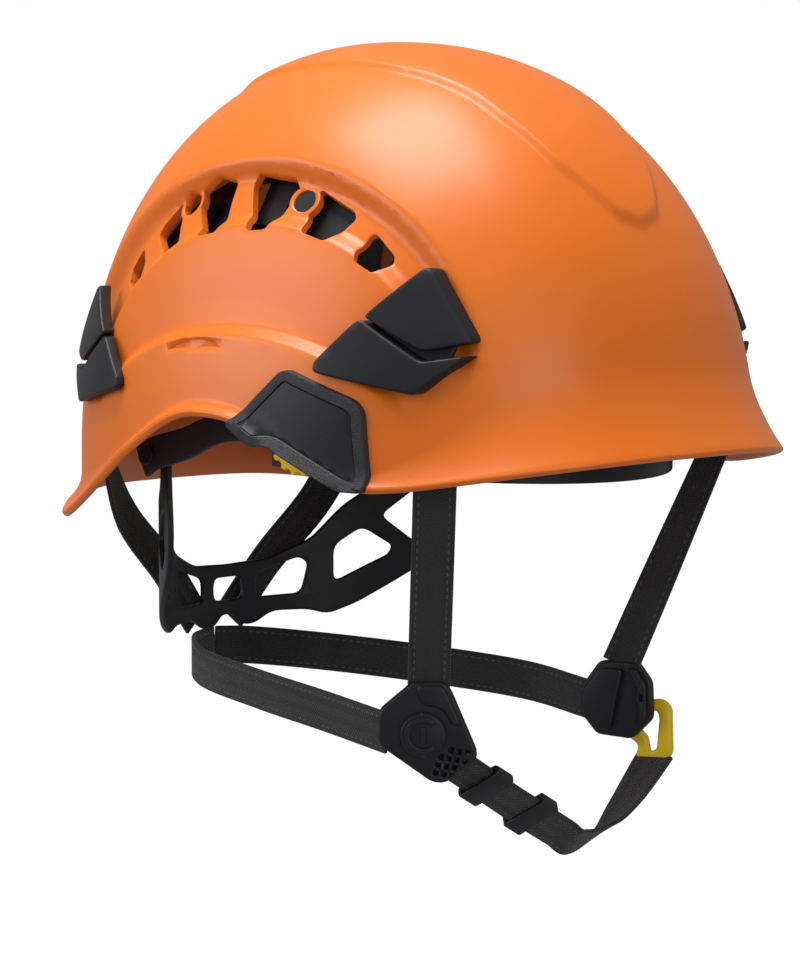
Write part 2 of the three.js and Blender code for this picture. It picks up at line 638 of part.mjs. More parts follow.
function makeLattice() {
  const otherHalf = LATTICE_EDGE.slice(1, -1).reverse().map(([s, z]) => [-s, z]);
  const shape = shapeOf(densified([...LATTICE_EDGE, ...otherHalf], 7));
  const otherHoles = LATTICE_HOLES.map((hole) => hole.map(([s, z]) => [-s, z]));
  for (const hole of [CENTRE_HOLE, ...LATTICE_HOLES, ...otherHoles]) {
    shape.holes.push(pathOf(densified(hole, 7)));
  }
  const geometry = new THREE.ExtrudeGeometry(shape, { depth: LATTICE.thickness, bevelEnabled: false });
  const position = geometry.attributes.position;
  for (let i = 0; i < position.count; i += 1) {
    const angle = backAngle(position.getX(i));
    const p = headPoint(180 + angle, position.getY(i), position.getZ(i) - LATTICE.thickness / 2);
    position.setXYZ(i, p.x, p.y, p.z);
  }
  const rightBore = fromSolid(pivotBore(PIVOT.radius + GAP));
  return fromSolid(toSolid(geometry).subtract(toSolid(rightBore)).subtract(toSolid(mirrored(rightBore))));
}

// ---------------------------------------------------------------- webbing cradle and its anchors
function anchorPlace(angle, z) {
  return shellPoint(rad(-angle), z, -(SHELL.wall + ANCHOR.standOff + ANCHOR.thickness / 2));
}

function makeAnchor(angle, z) {
  const { width, height, thickness, corner } = ANCHOR;
  const outline = cutCorners(width / 2, height / 2, corner);
  const plate = new THREE.ExtrudeGeometry(shapeOf(outline), { depth: thickness, bevelEnabled: false });
  plate.translate(0, 0, -thickness / 2);
  const here = anchorPlace(angle, z);
  const along = anchorPlace(angle + 1, z).sub(anchorPlace(angle - 1, z)).normalize();
  const up = vec(0, 0, 1);
  plate.applyMatrix4(new THREE.Matrix4().makeBasis(along, up, along.clone().cross(up)));
  return plate.translate(here.x, here.y, here.z);
}

function makeCradleStrap(fromAngle, fromZ, toAngle, toZ, layer) {
  const from = anchorPlace(fromAngle, fromZ);
  const to = anchorPlace(toAngle, toZ);
  const start = ANCHOR.height / 2 + GAP;
  const apex = SHELL.height - CRADLE.headroom - layer * CRADLE.step;
  const run = to.clone().sub(from).setZ(0).normalize();
  from.addScaledVector(run, CRADLE.inward);
  to.addScaledVector(run, -CRADLE.inward);
  const side = vec(-run.y, run.x, 0);
  const points = [];
  for (let i = 0; i <= 10; i += 1) {
    const turn = Math.PI * (i / 10);
    const share = (1 - Math.cos(turn)) / 2;
    const foot = THREE.MathUtils.lerp(from.z, to.z, share) + start;
    const place = from.clone().lerp(to, share);
    points.push(place.setZ(foot + (apex - foot) * Math.sin(turn)));
  }
  return ribbon(points, points.map(() => side), CRADLE.width, CRADLE.thickness, 20);
}

// ---------------------------------------------------------------- chin harness
// Directions of a divider's face: `u` across it, `v` up it, `n` out of it.
function facePlane(ux, uy) {
  const u = vec(ux, uy, 0).normalize();
  const v = vec(0, 0, 1);
  return { u, v, n: u.clone().cross(v) };
}
const RIGHT_FACE = facePlane(0.68, -0.73);
const LEFT_FACE = facePlane(0.3, -0.954);
const RIGHT_CENTRE = vec(-DIVIDER.x, DIVIDER.y, DIVIDER.z);
const LEFT_CENTRE = vec(DIVIDER.x, DIVIDER.y, DIVIDER.z);
const onFace = (centre, { u, v, n }, a, b, c = 0) =>
  centre.clone().addScaledVector(u, a).addScaledVector(v, b).addScaledVector(n, c);

function plateOnFace(centre, face, outline, thickness, holes = []) {
  const shape = shapeOf(outline);
  for (const hole of holes) shape.holes.push(pathOf(hole));
  const plate = new THREE.ExtrudeGeometry(shape, { depth: thickness, bevelEnabled: false });
  plate.translate(0, 0, -thickness / 2);
  plate.applyMatrix4(new THREE.Matrix4().makeBasis(face.u, face.v, face.n));
  return plate.translate(centre.x, centre.y, centre.z);
}

const DIVIDER_RIGHT = [[-16.7, 8.2], [-7, 16.3], [-4.5, 18.8], [6.7, 18.8], [9.3, 14.8], [18.2, -6.3],
  [17.8, -8.9], [7, -17.4], [2.2, -17.1], [-16.7, -3.7]];
const DIVIDER_LEFT = [[-15, 4], [-7, 15], [8, 15], [13.5, 8], [14, -6], [6, -14], [-8, -13], [-15, -5]];
const HOOK_OUTLINE = [
  [-12, 7], [-9, 11], [8, 13], [11.5, 10], [12, -8], [5, -14], [-3, -10], [-1, -5], [-10, 1],
];
const HOOK_WINDOW = [[-4, 4.5], [-3, 7], [6, 8.5], [7, 6], [6, -6], [3, -7.5], [2, -2]];

function makeFrontStrap(centre, face, topAcross, topLength) {
  const side = Math.sign(centre.x);
  const top = anchorPlace(ANCHOR.places[0][0], ANCHOR.places[0][1]);
  const start = vec(side * Math.abs(top.x), top.y, top.z - ANCHOR.height / 2 - HARNESS_GAP);
  const end = onFace(centre, face, 1, topLength + HARNESS_GAP);
  const points = [start, start.clone().lerp(end, 0.33), start.clone().lerp(end, 0.66), end];
  const across = points.map((p, i) => topAcross.clone().lerp(face.u, i / 3));
  return ribbon(points, across, WEBBING.width, WEBBING.thickness, 14);
}

const REAR_SLANT = 0.36;               // how far a slanted end drops, as a share of its width
function makeUpperRearStrap() {
  const [angle, z] = ANCHOR.places[2];
  const top = anchorPlace(angle, z);
  const points = [vec(top.x, top.y, top.z - ANCHOR.height / 2 - WEBBING.width * REAR_SLANT),
    vec(-52, 105, -26),
    vec(-27, 109, -50), vec(-12, 111, -66)];
  const across = [vec(0.75, 0.6, 0), vec(0.85, 0.3, 0.5), vec(0.8, 0.1, 0.6), vec(0.8, 0.1, 0.6)];
  return ribbon(points, across, WEBBING.width, WEBBING.thickness, 16);
}

function makeLowerRearStrap(side, centre, face, edge) {
  const end = onFace(centre, face, -edge - HARNESS_GAP, 0);
  const points = [vec(side * 1.4, 111, -81.5), vec(side * 14, 107, -82.5), vec(side * 31, 86, -84.5),
    vec(side * 46, 40, -87), vec(side * 55, -5, -90), end];
  const across = points.map(() => vec(0, 0, 1));
  return ribbon(points, across, WEBBING.width, WEBBING.thickness, 26);
}

const CHIN_START = onFace(RIGHT_CENTRE, RIGHT_FACE, 13.2, -13.6);
const CHIN_LOW = vec(2, -67, -134);
const chinRun = CHIN_LOW.clone().sub(CHIN_START).normalize();
const chinAcross = vec(-0.12, -0.72, 0.69);

const HOOK_CENTRE = onFace(LEFT_CENTRE, LEFT_FACE, HOOK.u, HOOK.v, HOOK.lift);
function makeChinStrap() {
  const hookFoot = onFace(HOOK_CENTRE, LEFT_FACE, 7, -14 - HARNESS_GAP);
  const points = [CHIN_START, CHIN_START.clone().lerp(CHIN_LOW, 0.5), CHIN_LOW,
    CHIN_LOW.clone().addScaledVector(chinRun, 9), vec(26, -68, -136), vec(41, -66, -128), hookFoot];
  const turned = (i) => chinAcross.clone().lerp(LEFT_FACE.u, Math.max(i - 3, 0) / 3);
  const across = points.map((p, i) => turned(i));
  return ribbon(points, across, WEBBING.width, WEBBING.thickness, 34);
}

function makeKeeper(distance) {
  const across = chinAcross.clone().addScaledVector(chinRun, -chinAcross.dot(chinRun)).normalize();
  const out = chinRun.clone().cross(across);
  const [w, t] = [KEEPER.width / 2, KEEPER.thickness / 2];
  const [hw, ht] = [WEBBING.width / 2 + GAP, WEBBING.thickness / 2 + GAP];
  const shape = shapeOf(cutCorners(w, t, KEEPER.corner));
  shape.holes.push(pathOf([[-hw, -ht], [-hw, ht], [hw, ht], [hw, -ht]]));
  const loop = new THREE.ExtrudeGeometry(shape, { depth: KEEPER.along, bevelEnabled: false });
  loop.applyMatrix4(new THREE.Matrix4().makeBasis(across, out, across.clone().cross(out)));
  const at = CHIN_START.clone().addScaledVector(chinRun, distance);
  return loop.translate(at.x, at.y, at.z);
}

function makeDial() {
  const disc = new THREE.CylinderGeometry(DIAL.radius, DIAL.radius, DIAL.thickness, 28);
  disc.rotateX(Math.PI / 2);
  disc.translate(DIAL.u, DIAL.v, DIVIDER.thickness / 2 + GAP + DIAL.thickness / 2);
  disc.applyMatrix4(new THREE.Matrix4().makeBasis(RIGHT_FACE.u, RIGHT_FACE.v, RIGHT_FACE.n));
  return disc.translate(RIGHT_CENTRE.x, RIGHT_CENTRE.y, RIGHT_CENTRE.z);
}

// ---------------------------------------------------------------- assembly
addPart('shell', fromSolid(makeShell()), ORANGE);
addPair('vent_shutter', makeShutter(), BLACK);
makePins();
makeLampClip('front', (points) => points);
makeLampClip('rear', turnedBack);
addPair('slot_cover', makeSlotCover(), BLACK);
addPart('headband_front', makeHeadbandFront(), BLACK);
addPart('forehead_pad', makeForeheadPad(), FOAM);
addPair('adjuster_housing', makeHousing(), BLACK);
addPair('adjuster_wheel', makeWheel(), YELLOW);
addPair('side_arm', makeSideArm(), BLACK);
addPair('pivot_pin', makePivotPin(), BLACK);
addPart('rear_headband', makeLattice(), BLACK);

['front', 'side', 'rear'].forEach((place, i) => {
  const [angle, z] = ANCHOR.places[i];
  addPair(`cradle_anchor_${place}`, makeAnchor(angle, z), BLACK);
});
const [FRONT_ANCHOR, SIDE_ANCHOR, REAR_ANCHOR] = ANCHOR.places;
addPart('cradle_strap_side', makeCradleStrap(...SIDE_ANCHOR, -SIDE_ANCHOR[0], SIDE_ANCHOR[1], 0), WEB);
addPart('cradle_strap_right', makeCradleStrap(...FRONT_ANCHOR, -REAR_ANCHOR[0], REAR_ANCHOR[1], 1), WEB);
addPart('cradle_strap_left', makeCradleStrap(-FRONT_ANCHOR[0], FRONT_ANCHOR[1], ...REAR_ANCHOR, 2), WEB);

addPart('front_strap_right', makeFrontStrap(RIGHT_CENTRE, RIGHT_FACE, vec(0.6, -0.8, 0), 18.8), WEB);
addPart('front_strap_left', makeFrontStrap(LEFT_CENTRE, LEFT_FACE, vec(-0.2, -0.98, 0), 16.5), WEB);
addPair('upper_rear_strap', makeUpperRearStrap(), WEB);
addPart('lower_rear_strap_right', makeLowerRearStrap(-1, RIGHT_CENTRE, RIGHT_FACE, 16.7), WEB);
addPart('lower_rear_strap_left', makeLowerRearStrap(1, LEFT_CENTRE, LEFT_FACE, 15), WEB);
const rightDivider = plateOnFace(RIGHT_CENTRE, RIGHT_FACE, DIVIDER_RIGHT, DIVIDER.thickness);
addPart('strap_divider_right', rightDivider, BLACK);
addPart('strap_divider_left', plateOnFace(LEFT_CENTRE, LEFT_FACE, DIVIDER_LEFT, DIVIDER.thickness), BLACK);
addPart('selector_dial', makeDial(), BLACK);
addPart('chin_strap', makeChinStrap(), WEB);
addPart('strap_keeper_upper', makeKeeper(KEEPER.places[0]), BLACK);
addPart('strap_keeper_lower', makeKeeper(KEEPER.places[1]), BLACK);
const hook = plateOnFace(HOOK_CENTRE, LEFT_FACE, HOOK_OUTLINE, HOOK.thickness, [HOOK_WINDOW]);
addPart('hook_clip', hook, YELLOW);

export default helmet;
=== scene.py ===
"""A vented work-at-height helmet: moulded shell, webbing cradle, folding headband and chin harness."""

import math

import bmesh
import bpy
import numpy as np
from mathutils import Matrix, Vector


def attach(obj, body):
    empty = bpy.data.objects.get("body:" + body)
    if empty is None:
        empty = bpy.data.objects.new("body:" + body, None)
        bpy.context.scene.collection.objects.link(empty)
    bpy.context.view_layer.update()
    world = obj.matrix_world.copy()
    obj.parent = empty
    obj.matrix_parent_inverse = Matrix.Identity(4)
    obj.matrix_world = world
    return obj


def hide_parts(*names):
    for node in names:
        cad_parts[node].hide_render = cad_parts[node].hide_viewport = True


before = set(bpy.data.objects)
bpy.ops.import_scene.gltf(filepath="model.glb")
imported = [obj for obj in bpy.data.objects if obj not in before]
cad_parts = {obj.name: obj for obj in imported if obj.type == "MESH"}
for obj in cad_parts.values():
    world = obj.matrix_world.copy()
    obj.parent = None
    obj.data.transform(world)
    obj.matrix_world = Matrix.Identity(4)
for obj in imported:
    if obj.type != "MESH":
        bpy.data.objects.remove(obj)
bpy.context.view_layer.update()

# ------------------------------------------------------------------ studio
# The helmet hangs in a white surround, as if a head held it, under one broad overhead softbox,
# with a softbox behind the wearer's right shoulder and a weak one in front.
camera_data = bpy.data.cameras.new("camera")
camera_data.lens = 130.8
camera_data.sensor_width = 36
camera = bpy.data.objects.new("camera", camera_data)
camera.location = (-0.95292, -0.88325, 0.10246)
view_direction = Vector((0.72678, 0.68140, -0.08650))
camera.rotation_mode = "QUATERNION"
camera.rotation_quaternion = view_direction.to_track_quat("-Z", "Y")
bpy.context.scene.collection.objects.link(camera)
bpy.context.scene.camera = camera

BACKDROP, AMBIENT = 1.0, 0.3
world = bpy.data.worlds.new("studio")
world.use_nodes = True
sky = world.node_tree.nodes["Background"]
sky.inputs["Color"].default_value = (1, 1, 1, 1)
seen = world.node_tree.nodes.new("ShaderNodeLightPath").outputs["Is Camera Ray"]
level = world.node_tree.nodes.new("ShaderNodeMapRange")
level.inputs["To Min"].default_value = AMBIENT
level.inputs["To Max"].default_value = BACKDROP
world.node_tree.links.new(seen, level.inputs["Value"])
world.node_tree.links.new(level.outputs["Result"], sky.inputs["Strength"])
bpy.context.scene.world = world
bpy.context.scene.view_settings.view_transform = "Standard"

SOFTBOXES = [  # name, place, size, watts
    ("overhead", (-0.2, 0.1, 1.5), 0.9, 25),
    ("shoulder", (-1.3, 0.75, 0.55), 0.9, 9),
    ("fill", (-0.55, -1.6, 0.35), 0.8, 5),
]
for name, place, size, watts in SOFTBOXES:
    light = bpy.data.lights.new(name, "AREA")
    light.size = size
    light.energy = watts
    lamp = bpy.data.objects.new(name, light)
    lamp.location = place
    lamp.rotation_mode = "QUATERNION"
    lamp.rotation_quaternion = (-Vector(place)).to_track_quat("-Z", "Y")
    bpy.context.scene.collection.objects.link(lamp)

# ------------------------------------------------------------------ shell
# One injection moulding, 3 mm thick: a dome with a raised crown panel, a flared rim, a sunk
# band of vents on each side, and a proud section over the ear. Sizes are millimetres.
MM = 0.001
HALF_WIDTH, FRONT, BACK, HEIGHT, CENTRE_Y = 110, 138.8, 117.3, 150.7, 11.5
PLAN_POWER, PROFILE_POWER = 2.25, 2.12
WALL = 3


def smooth(a, b, v):
    t = np.clip((v - a) / (b - a), 0, 1)
    return t * t * (3 - 2 * t)


def rim_height(y):
    ahead = y < 5
    ear = 27.5 * np.exp(-((np.abs(y - 5) / np.where(ahead, 50, 40)) ** np.where(ahead, 2.6, 2)))
    brim = 14 * np.clip((y + 60) / -68, 0, 1)
    nape = 16 * smooth(40, 96, y) - 7 * smooth(96, 128, y)
    return -6 + ear + brim - nape


def flare(y):
    """How far the rim stands out, and how high up the dome that starts."""
    front, rear = smooth(-60, -125, y), smooth(40, 100, y)
    return 3.5 + 8.5 * front + 4.5 * rear, 4.5 + 29.5 * front + 11 * rear


def signed_power(v, e):
    return np.sign(v) * np.abs(v) ** e


def dome(angle, z, proud=0.0):
    """Points of the dome, moved out by `proud`; angle 0 is the front and x > 0 the left."""
    share = np.clip(np.maximum(z, 0) / (HEIGHT + proud), 0, 1)
    spread = (1 - share ** PROFILE_POWER) ** (1 / PROFILE_POWER)
    across = signed_power(np.sin(angle), 2 / PLAN_POWER)
    along = -signed_power(np.cos(angle), 2 / PLAN_POWER)
    reach = np.where(along < 0, FRONT, BACK) + proud
    return (HALF_WIDTH + proud) * spread * across, CENTRE_Y + reach * spread * along


def side_x(y, z, proud):
    """How far the dome stands out from the middle plane at a place in the side view."""
    share = np.clip(np.maximum(z, 0) / (HEIGHT + proud), 0, 1)
    spread = (1 - share ** PROFILE_POWER) ** (1 / PROFILE_POWER)
    reach = np.where(y < CENTRE_Y, FRONT, BACK) + proud
    inside = 1 - np.abs((y - CENTRE_Y) / (reach * spread)) ** PLAN_POWER
    x = (HALF_WIDTH + proud) * spread * np.maximum(inside, 0) ** (1 / PLAN_POWER)
    out, height = flare(y)
    rise = np.clip((z - rim_height(y)) / height, 0, 1)
    return x + out * (1 - rise) ** 2


def grown(points, distance):
    """An anticlockwise outline with each edge moved out."""
    moved = []
    for (pu, pv), (u, v), (nu, nv) in zip(points[-1:] + points[:-1], points, points[1:] + points[:1]):
        a, b = Vector((u - pu, v - pv)).normalized(), Vector((nu - u, nv - v)).normalized()
        out = Vector((a.y + b.y, -a.x - b.x)).normalized()
        reach = distance / max(out.dot(Vector((a.y, -a.x))), 0.5)
        moved.append((u + out.x * reach, v + out.y * reach))
    return moved


def anticlockwise(points):
    area = sum(a[0] * b[1] - b[0] * a[1] for a, b in zip(points, points[1:] + points[:1]))
    return list(points) if area > 0 else list(points)[::-1]


def outline_distance(points, u, v):
    """Signed distance from an outline, below zero inside it."""
    best = np.full(len(u), 1e9)
    inside = np.zeros(len(u), bool)
    for (au, av), (bu, bv) in zip(points, points[1:] + points[:1]):
        eu, ev = bu - au, bv - av
        t = np.clip(((u - au) * eu + (v - av) * ev) / (eu * eu + ev * ev), 0, 1)
        best = np.minimum(best, np.hypot(u - au - t * eu, v - av - t * ev))
        crosses = (av > v) != (bv > v)
        inside ^= crosses & (u < au + (v - av) * eu / (ev if ev else 1e-9))
    return np.where(inside, -best, best)


def coordinates(bm):
    return np.array([v.co for v in bm.verts])


TOUCHING = 1e-3


def cut_along(bm, field, levels, above=-1e9):
    """Puts an edge loop into the mesh wherever `field` has one of the levels."""
    for level in levels:
        bm.verts.index_update()
        value = field(coordinates(bm)) - level
        on_line = set()
        for edge in bm.edges[:]:
            a, b = edge.verts
            va, vb = value[a.index], value[b.index]
            if max(a.co.z, b.co.z) < above or (va < 0) == (vb < 0):
                continue
            share = va / (va - vb)
            if share < TOUCHING:
                on_line.add(a)
            elif share > 1 - TOUCHING:
                on_line.add(b)
            else:
                on_line.add(bmesh.utils.edge_split(edge, a, share)[1])
        bmesh.ops.connect_verts(bm, verts=list(on_line))


def arch_depth(y0, z0, reach, rise):
    """Distance inside a half ellipse in the side view, above zero within it."""
    def field(co):
        u, v = (co[:, 1] - y0) / reach, (co[:, 2] - z0) / rise
        q = np.maximum(np.hypot(u, v), 1e-6)
        return (1 - q) * q / np.maximum(np.hypot(u / reach, v / rise), 1e-6)
    return field


vent_arch = arch_depth(1, 25, 98, 85)
panel_arch = arch_depth(-6, 26.6, 76, 60)
ear_arch = arch_depth(-4, 4, 75, 44)
CROWN = [(0, -104), (11, -101.5), (17, -95), (24, -86), (29, -66), (30, -53), (35, -23),
         (38.5, 29), (34, 50), (22, 78), (0, 88)]
crown_outline = anticlockwise(CROWN + [(-x, y) for x, y in CROWN[-2:0:-1]])
VENTS = [
    [(65, 77), (61, 73.5), (61.5, 65), (68.5, 66.5), (69.5, 70.5)],
    [(44.5, 95), (42, 91), (38.8, 81), (45, 78), (54, 84.5), (52, 88)],
    [(17.5, 103), (14.5, 85.3), (21.8, 84), (32.2, 97.5), (31.8, 100), (24.5, 103.5)],
    [(6, 103.5), (4.5, 105), (-11.7, 103.4), (-13.8, 101), (-9.3, 86.8), (-2.8, 86.3)],
    [(-23.5, 98.5), (-25.5, 99.5), (-40.4, 92.6), (-41.6, 91), (-35.9, 83.2), (-27.4, 85.7)],
    [(-52.2, 84.5), (-60.2, 77.4), (-60.6, 75.6), (-57.1, 72.2), (-50.9, 75.6), (-50.2, 78.2)],
]
PLUGS = [(24.5, 84), (-12.9, 81.3)]  # angle back from upright, and reach from the turning axis
PLUG_HOLE, PLUG_AXIS_Z, PLUG_SLOPE, PLUG_BASE_X, PLUG_BASE_REACH = 4.75, 12, 0.66, 79.7, 74
VENT_CORNER = 1.7
VENT_ROOM = [1.4, 0.8, 1.5, 1.6, 1.6, 1.4]
PLUG_WEB = 1.7
LEDGE_HOLLOW = [(27, 42.2), (18, 45.2), (6, 46.2), (-3, 45.6), (-4, 44.2), (6, 43.8), (18, 43)]


def crown_distance(co):
    return outline_distance(crown_outline, co[:, 0], co[:, 1])


def plug_distance(co):
    """Distance from the nearest plug's hole, whose axis stands square to the sheet behind it."""
    nearest = np.full(len(co), 1e9)
    tilt = math.atan(PLUG_SLOPE)
    for degrees, reach in PLUGS:
        a = math.radians(degrees)
        foot = np.array([PLUG_BASE_X - (reach - PLUG_BASE_REACH) * PLUG_SLOPE,
                         reach * math.sin(a), PLUG_AXIS_Z + reach * math.cos(a)])
        axis = np.array([math.cos(tilt), math.sin(tilt) * math.sin(a), math.sin(tilt) * math.cos(a)])
        offset = np.column_stack([np.abs(co[:, 0]), co[:, 1], co[:, 2]]) - foot
        off_axis = offset - (offset @ axis)[:, None] * axis
        nearest = np.minimum(nearest, np.linalg.norm(off_axis, axis=1) - PLUG_HOLE)
    return nearest


def vent_distance(co):
    """Distance from the nearest vent's edge, below zero inside the vent."""
    nearest = np.full(len(co), 1e9)
    for vent, room in zip(VENTS, VENT_ROOM):
        core = grown(anticlockwise(vent), room - VENT_CORNER)
        nearest = np.minimum(nearest, outline_distance(core, co[:, 1], co[:, 2]) - VENT_CORNER)
    return np.maximum(nearest, PLUG_WEB - plug_distance(co))


def hollow_distance(co):
    return outline_distance(anticlockwise(LEDGE_HOLLOW), co[:, 1], co[:, 2])


COLUMNS, ROWS, FLARE_ROWS = 224, 84, 12
shell_bm = bmesh.new()
bmesh.ops.create_grid(shell_bm, x_segments=COLUMNS, y_segments=ROWS, size=1)
grid = coordinates(shell_bm)
angle = grid[:, 0] * math.pi
row = (grid[:, 1] + 1) / 2 * ROWS
base_x, base_y = dome(angle, np.zeros(len(angle)))
rim = rim_height(base_y)
out, flare_height = flare(base_y)
start = np.arcsin((np.maximum(rim + flare_height, 0) / HEIGHT) ** (PROFILE_POWER / 2))
turn = start + (math.pi / 2 - start) * np.clip((row - FLARE_ROWS) / (ROWS - FLARE_ROWS), 0, 1)
z = np.where(row < FLARE_ROWS, rim + flare_height * row / FLARE_ROWS,
             HEIGHT * np.sin(turn) ** (2 / PROFILE_POWER))
x, y = dome(angle, z)
rise = np.clip((z - rim) / flare_height, 0, 1)
outward = np.hypot(base_x, base_y - CENTRE_Y)
x += base_x / outward * out * (1 - rise) ** 2
y += (base_y - CENTRE_Y) / outward * out * (1 - rise) ** 2
for vert, place in zip(shell_bm.verts, zip(x, y, z)):
    vert.co = place
bmesh.ops.remove_doubles(shell_bm, verts=shell_bm.verts, dist=0.01)
bmesh.ops.recalc_face_normals(shell_bm, faces=shell_bm.faces)
shell_bm.verts.index_update()

BAND_DEPTH, PANEL_TOP_DEPTH, PANEL_FOOT_DEPTH = 5.5, 1.2, 4.2
STEP, LEDGE, EAR_LEDGE, CROWN_STEP = 6.0, 6.5, 5.0, 3.0
CROWN_PROUD, LIP, LIP_DROP = 1.8, 0.7, 0.15
near_vents = (vent_distance(coordinates(shell_bm)) < 4) & (coordinates(shell_bm)[:, 2] > 58)
fine_edges = [e for e in shell_bm.edges if near_vents[e.verts[0].index] and near_vents[e.verts[1].index]]
bmesh.ops.subdivide_edges(shell_bm, edges=fine_edges, cuts=2, use_grid_fill=True)
cut_along(shell_bm, vent_arch, np.linspace(-0.4, STEP, 6), above=38)
cut_along(shell_bm, panel_arch, np.linspace(-LEDGE, 0.6, 7), above=30)
cut_along(shell_bm, ear_arch, np.linspace(-EAR_LEDGE, 0.6, 7), above=14)
cut_along(shell_bm, crown_distance, np.linspace(-0.4, CROWN_STEP, 6), above=60)
cut_along(shell_bm, hollow_distance, [1.0, 0.4, -0.2, -0.7], above=36)
cut_along(shell_bm, vent_distance, [LIP, LIP / 2, 0], above=60)
cut_along(shell_bm, plug_distance, [0.6, 0], above=60)
middles = np.array([f.calc_center_median() for f in shell_bm.faces])
open_here = (np.minimum(vent_distance(middles), plug_distance(middles)) < 0) & (middles[:, 2] > 60)
holes = [face for face, is_open in zip(shell_bm.faces, open_here) if is_open]
bmesh.ops.delete(shell_bm, geom=holes, context="FACES")

shell_bm.normal_update()
co = coordinates(shell_bm)
normals = np.array([v.normal for v in shell_bm.verts])
in_vent, in_panel, in_ear = vent_arch(co), panel_arch(co), ear_arch(co)
band = smooth(-0.4, STEP, in_vent) * smooth(36, 46, co[:, 2])
below_band = smooth(-LEDGE, 0.6, in_panel)
down_panel = np.clip((in_panel + 1) / 26, 0, 1)
panel = PANEL_TOP_DEPTH + (PANEL_FOOT_DEPTH - PANEL_TOP_DEPTH) * down_panel
panel = panel * (1 - smooth(-EAR_LEDGE, 0.6, in_ear)) * smooth(12, 30, co[:, 2])
sunk = band * BAND_DEPTH * (1 - below_band) + below_band * panel
sunk -= CROWN_PROUD * (1 - smooth(-0.4, CROWN_STEP, crown_distance(co))) * (co[:, 2] > 60)
sunk += LIP_DROP * (1 - smooth(0, LIP, vent_distance(co))) * (co[:, 2] > 60)
sunk += 0.4 * (1 - smooth(0, 0.6, plug_distance(co))) * (co[:, 2] > 60)
sunk += 1.7 * (1 - smooth(-0.7, 1.0, hollow_distance(co))) * (co[:, 2] > 36)
for vert, place in zip(shell_bm.verts, co - normals * sunk[:, None]):
    vert.co = place
bmesh.ops.solidify(shell_bm, geom=shell_bm.faces[:], thickness=WALL)
bmesh.ops.recalc_face_normals(shell_bm, faces=shell_bm.faces)
shell_bm.normal_update()
lip_edges = [e for e in shell_bm.edges
             if len(e.link_faces) == 2 and e.calc_face_angle() > math.radians(50)
             and e.verts[0].co.z < rim_height(e.verts[0].co.y) + 3.5]
bmesh.ops.bevel(shell_bm, geom=lip_edges, offset=1.1, segments=3, profile=0.5, material=-1,
                affect="EDGES", clamp_overlap=False)


def shader_group(name, inputs, outputs):
    """An empty node group with those float or vector sockets, and its two end nodes."""
    group = bpy.data.node_groups.new(name, "ShaderNodeTree")
    for label, kind, value in inputs:
        socket = group.interface.new_socket(label, in_out="INPUT", socket_type=kind)
        if value is not None:
            socket.default_value = value
    for label, kind in outputs:
        group.interface.new_socket(label, in_out="OUTPUT", socket_type=kind)
    return group, group.nodes.new("NodeGroupInput"), group.nodes.new("NodeGroupOutput")


def noise(tree, vector, scale, detail=2.0):
    node = tree.nodes.new("ShaderNodeTexNoise")
    node.inputs["Scale"].default_value = scale
    node.inputs["Detail"].default_value = detail
    tree.links.new(vector, node.inputs["Vector"])
    return node.outputs["Fac"]


def maths(tree, operation, *values):
    node = tree.nodes.new("ShaderNodeMath")
    node.operation = operation
    for socket, value in zip(node.inputs, values):
        if isinstance(value, bpy.types.NodeSocket):
            tree.links.new(value, socket)
        else:
            socket.default_value = value
    return node.outputs[0]


def spread(tree, value, low, high, to_low, to_high):
    node = tree.nodes.new("ShaderNodeMapRange")
    for socket, number in zip(list(node.inputs)[1:5], (low, high, to_low, to_high)):
        socket.default_value = number
    tree.links.new(value, node.inputs["Value"])
    return node.outputs["Result"]


FLOAT, COLOUR, VECTOR = "NodeSocketFloat", "NodeSocketColor", "NodeSocketVector"
# Tooling grain: a fine pebble, with slow waves where the melt cooled unevenly.
grain_group, grain_in, grain_out = shader_group(
    "tooling_grain", [("Vector", VECTOR, None), ("Grain", FLOAT, 1.0)],
    [("Height", FLOAT), ("Mottle", FLOAT)])
pebble = noise(grain_group, grain_in.outputs["Vector"], 2600, 1)
waves = noise(grain_group, grain_in.outputs["Vector"], 16, 3)
grain_group.links.new(maths(grain_group, "MULTIPLY", pebble, grain_in.outputs["Grain"]),
                      grain_out.inputs["Height"])
grain_group.links.new(waves, grain_out.inputs["Mottle"])

# Edge lightening: convex edges turn a little paler, partly as handling wear and partly as a painted
# highlight where their bevels would catch the light.
wear_and_highlight_group, wear_and_highlight_in, wear_and_highlight_out = shader_group(
    "edge_wear_and_highlight", [("Colour", COLOUR, (0.5, 0.5, 0.5, 1)), ("Edge wear and highlight", COLOUR, (0.6, 0.6, 0.6, 1)),
                      ("Amount", FLOAT, 0.5), ("Vector", VECTOR, None)],
    [("Colour", COLOUR), ("Mask", FLOAT)])
# Pointiness picks out convex edges; their paler colour is part wear, part painted highlight.
edge = spread(wear_and_highlight_group, wear_and_highlight_group.nodes.new("ShaderNodeNewGeometry").outputs["Pointiness"],
              0.53, 0.62, 0, 1)
edge_patchiness = spread(wear_and_highlight_group, noise(wear_and_highlight_group, wear_and_highlight_in.outputs["Vector"], 90, 4), 0.4, 0.65, 0.3, 1)
wear_and_highlight_mask = maths(wear_and_highlight_group, "MULTIPLY", maths(wear_and_highlight_group, "MULTIPLY", edge, edge_patchiness),
             wear_and_highlight_in.outputs["Amount"])
lightened_edges = wear_and_highlight_group.nodes.new("ShaderNodeMix")
lightened_edges.data_type = "RGBA"
wear_and_highlight_group.links.new(wear_and_highlight_mask, lightened_edges.inputs["Factor"])
wear_and_highlight_group.links.new(wear_and_highlight_in.outputs["Colour"], lightened_edges.inputs["A"])
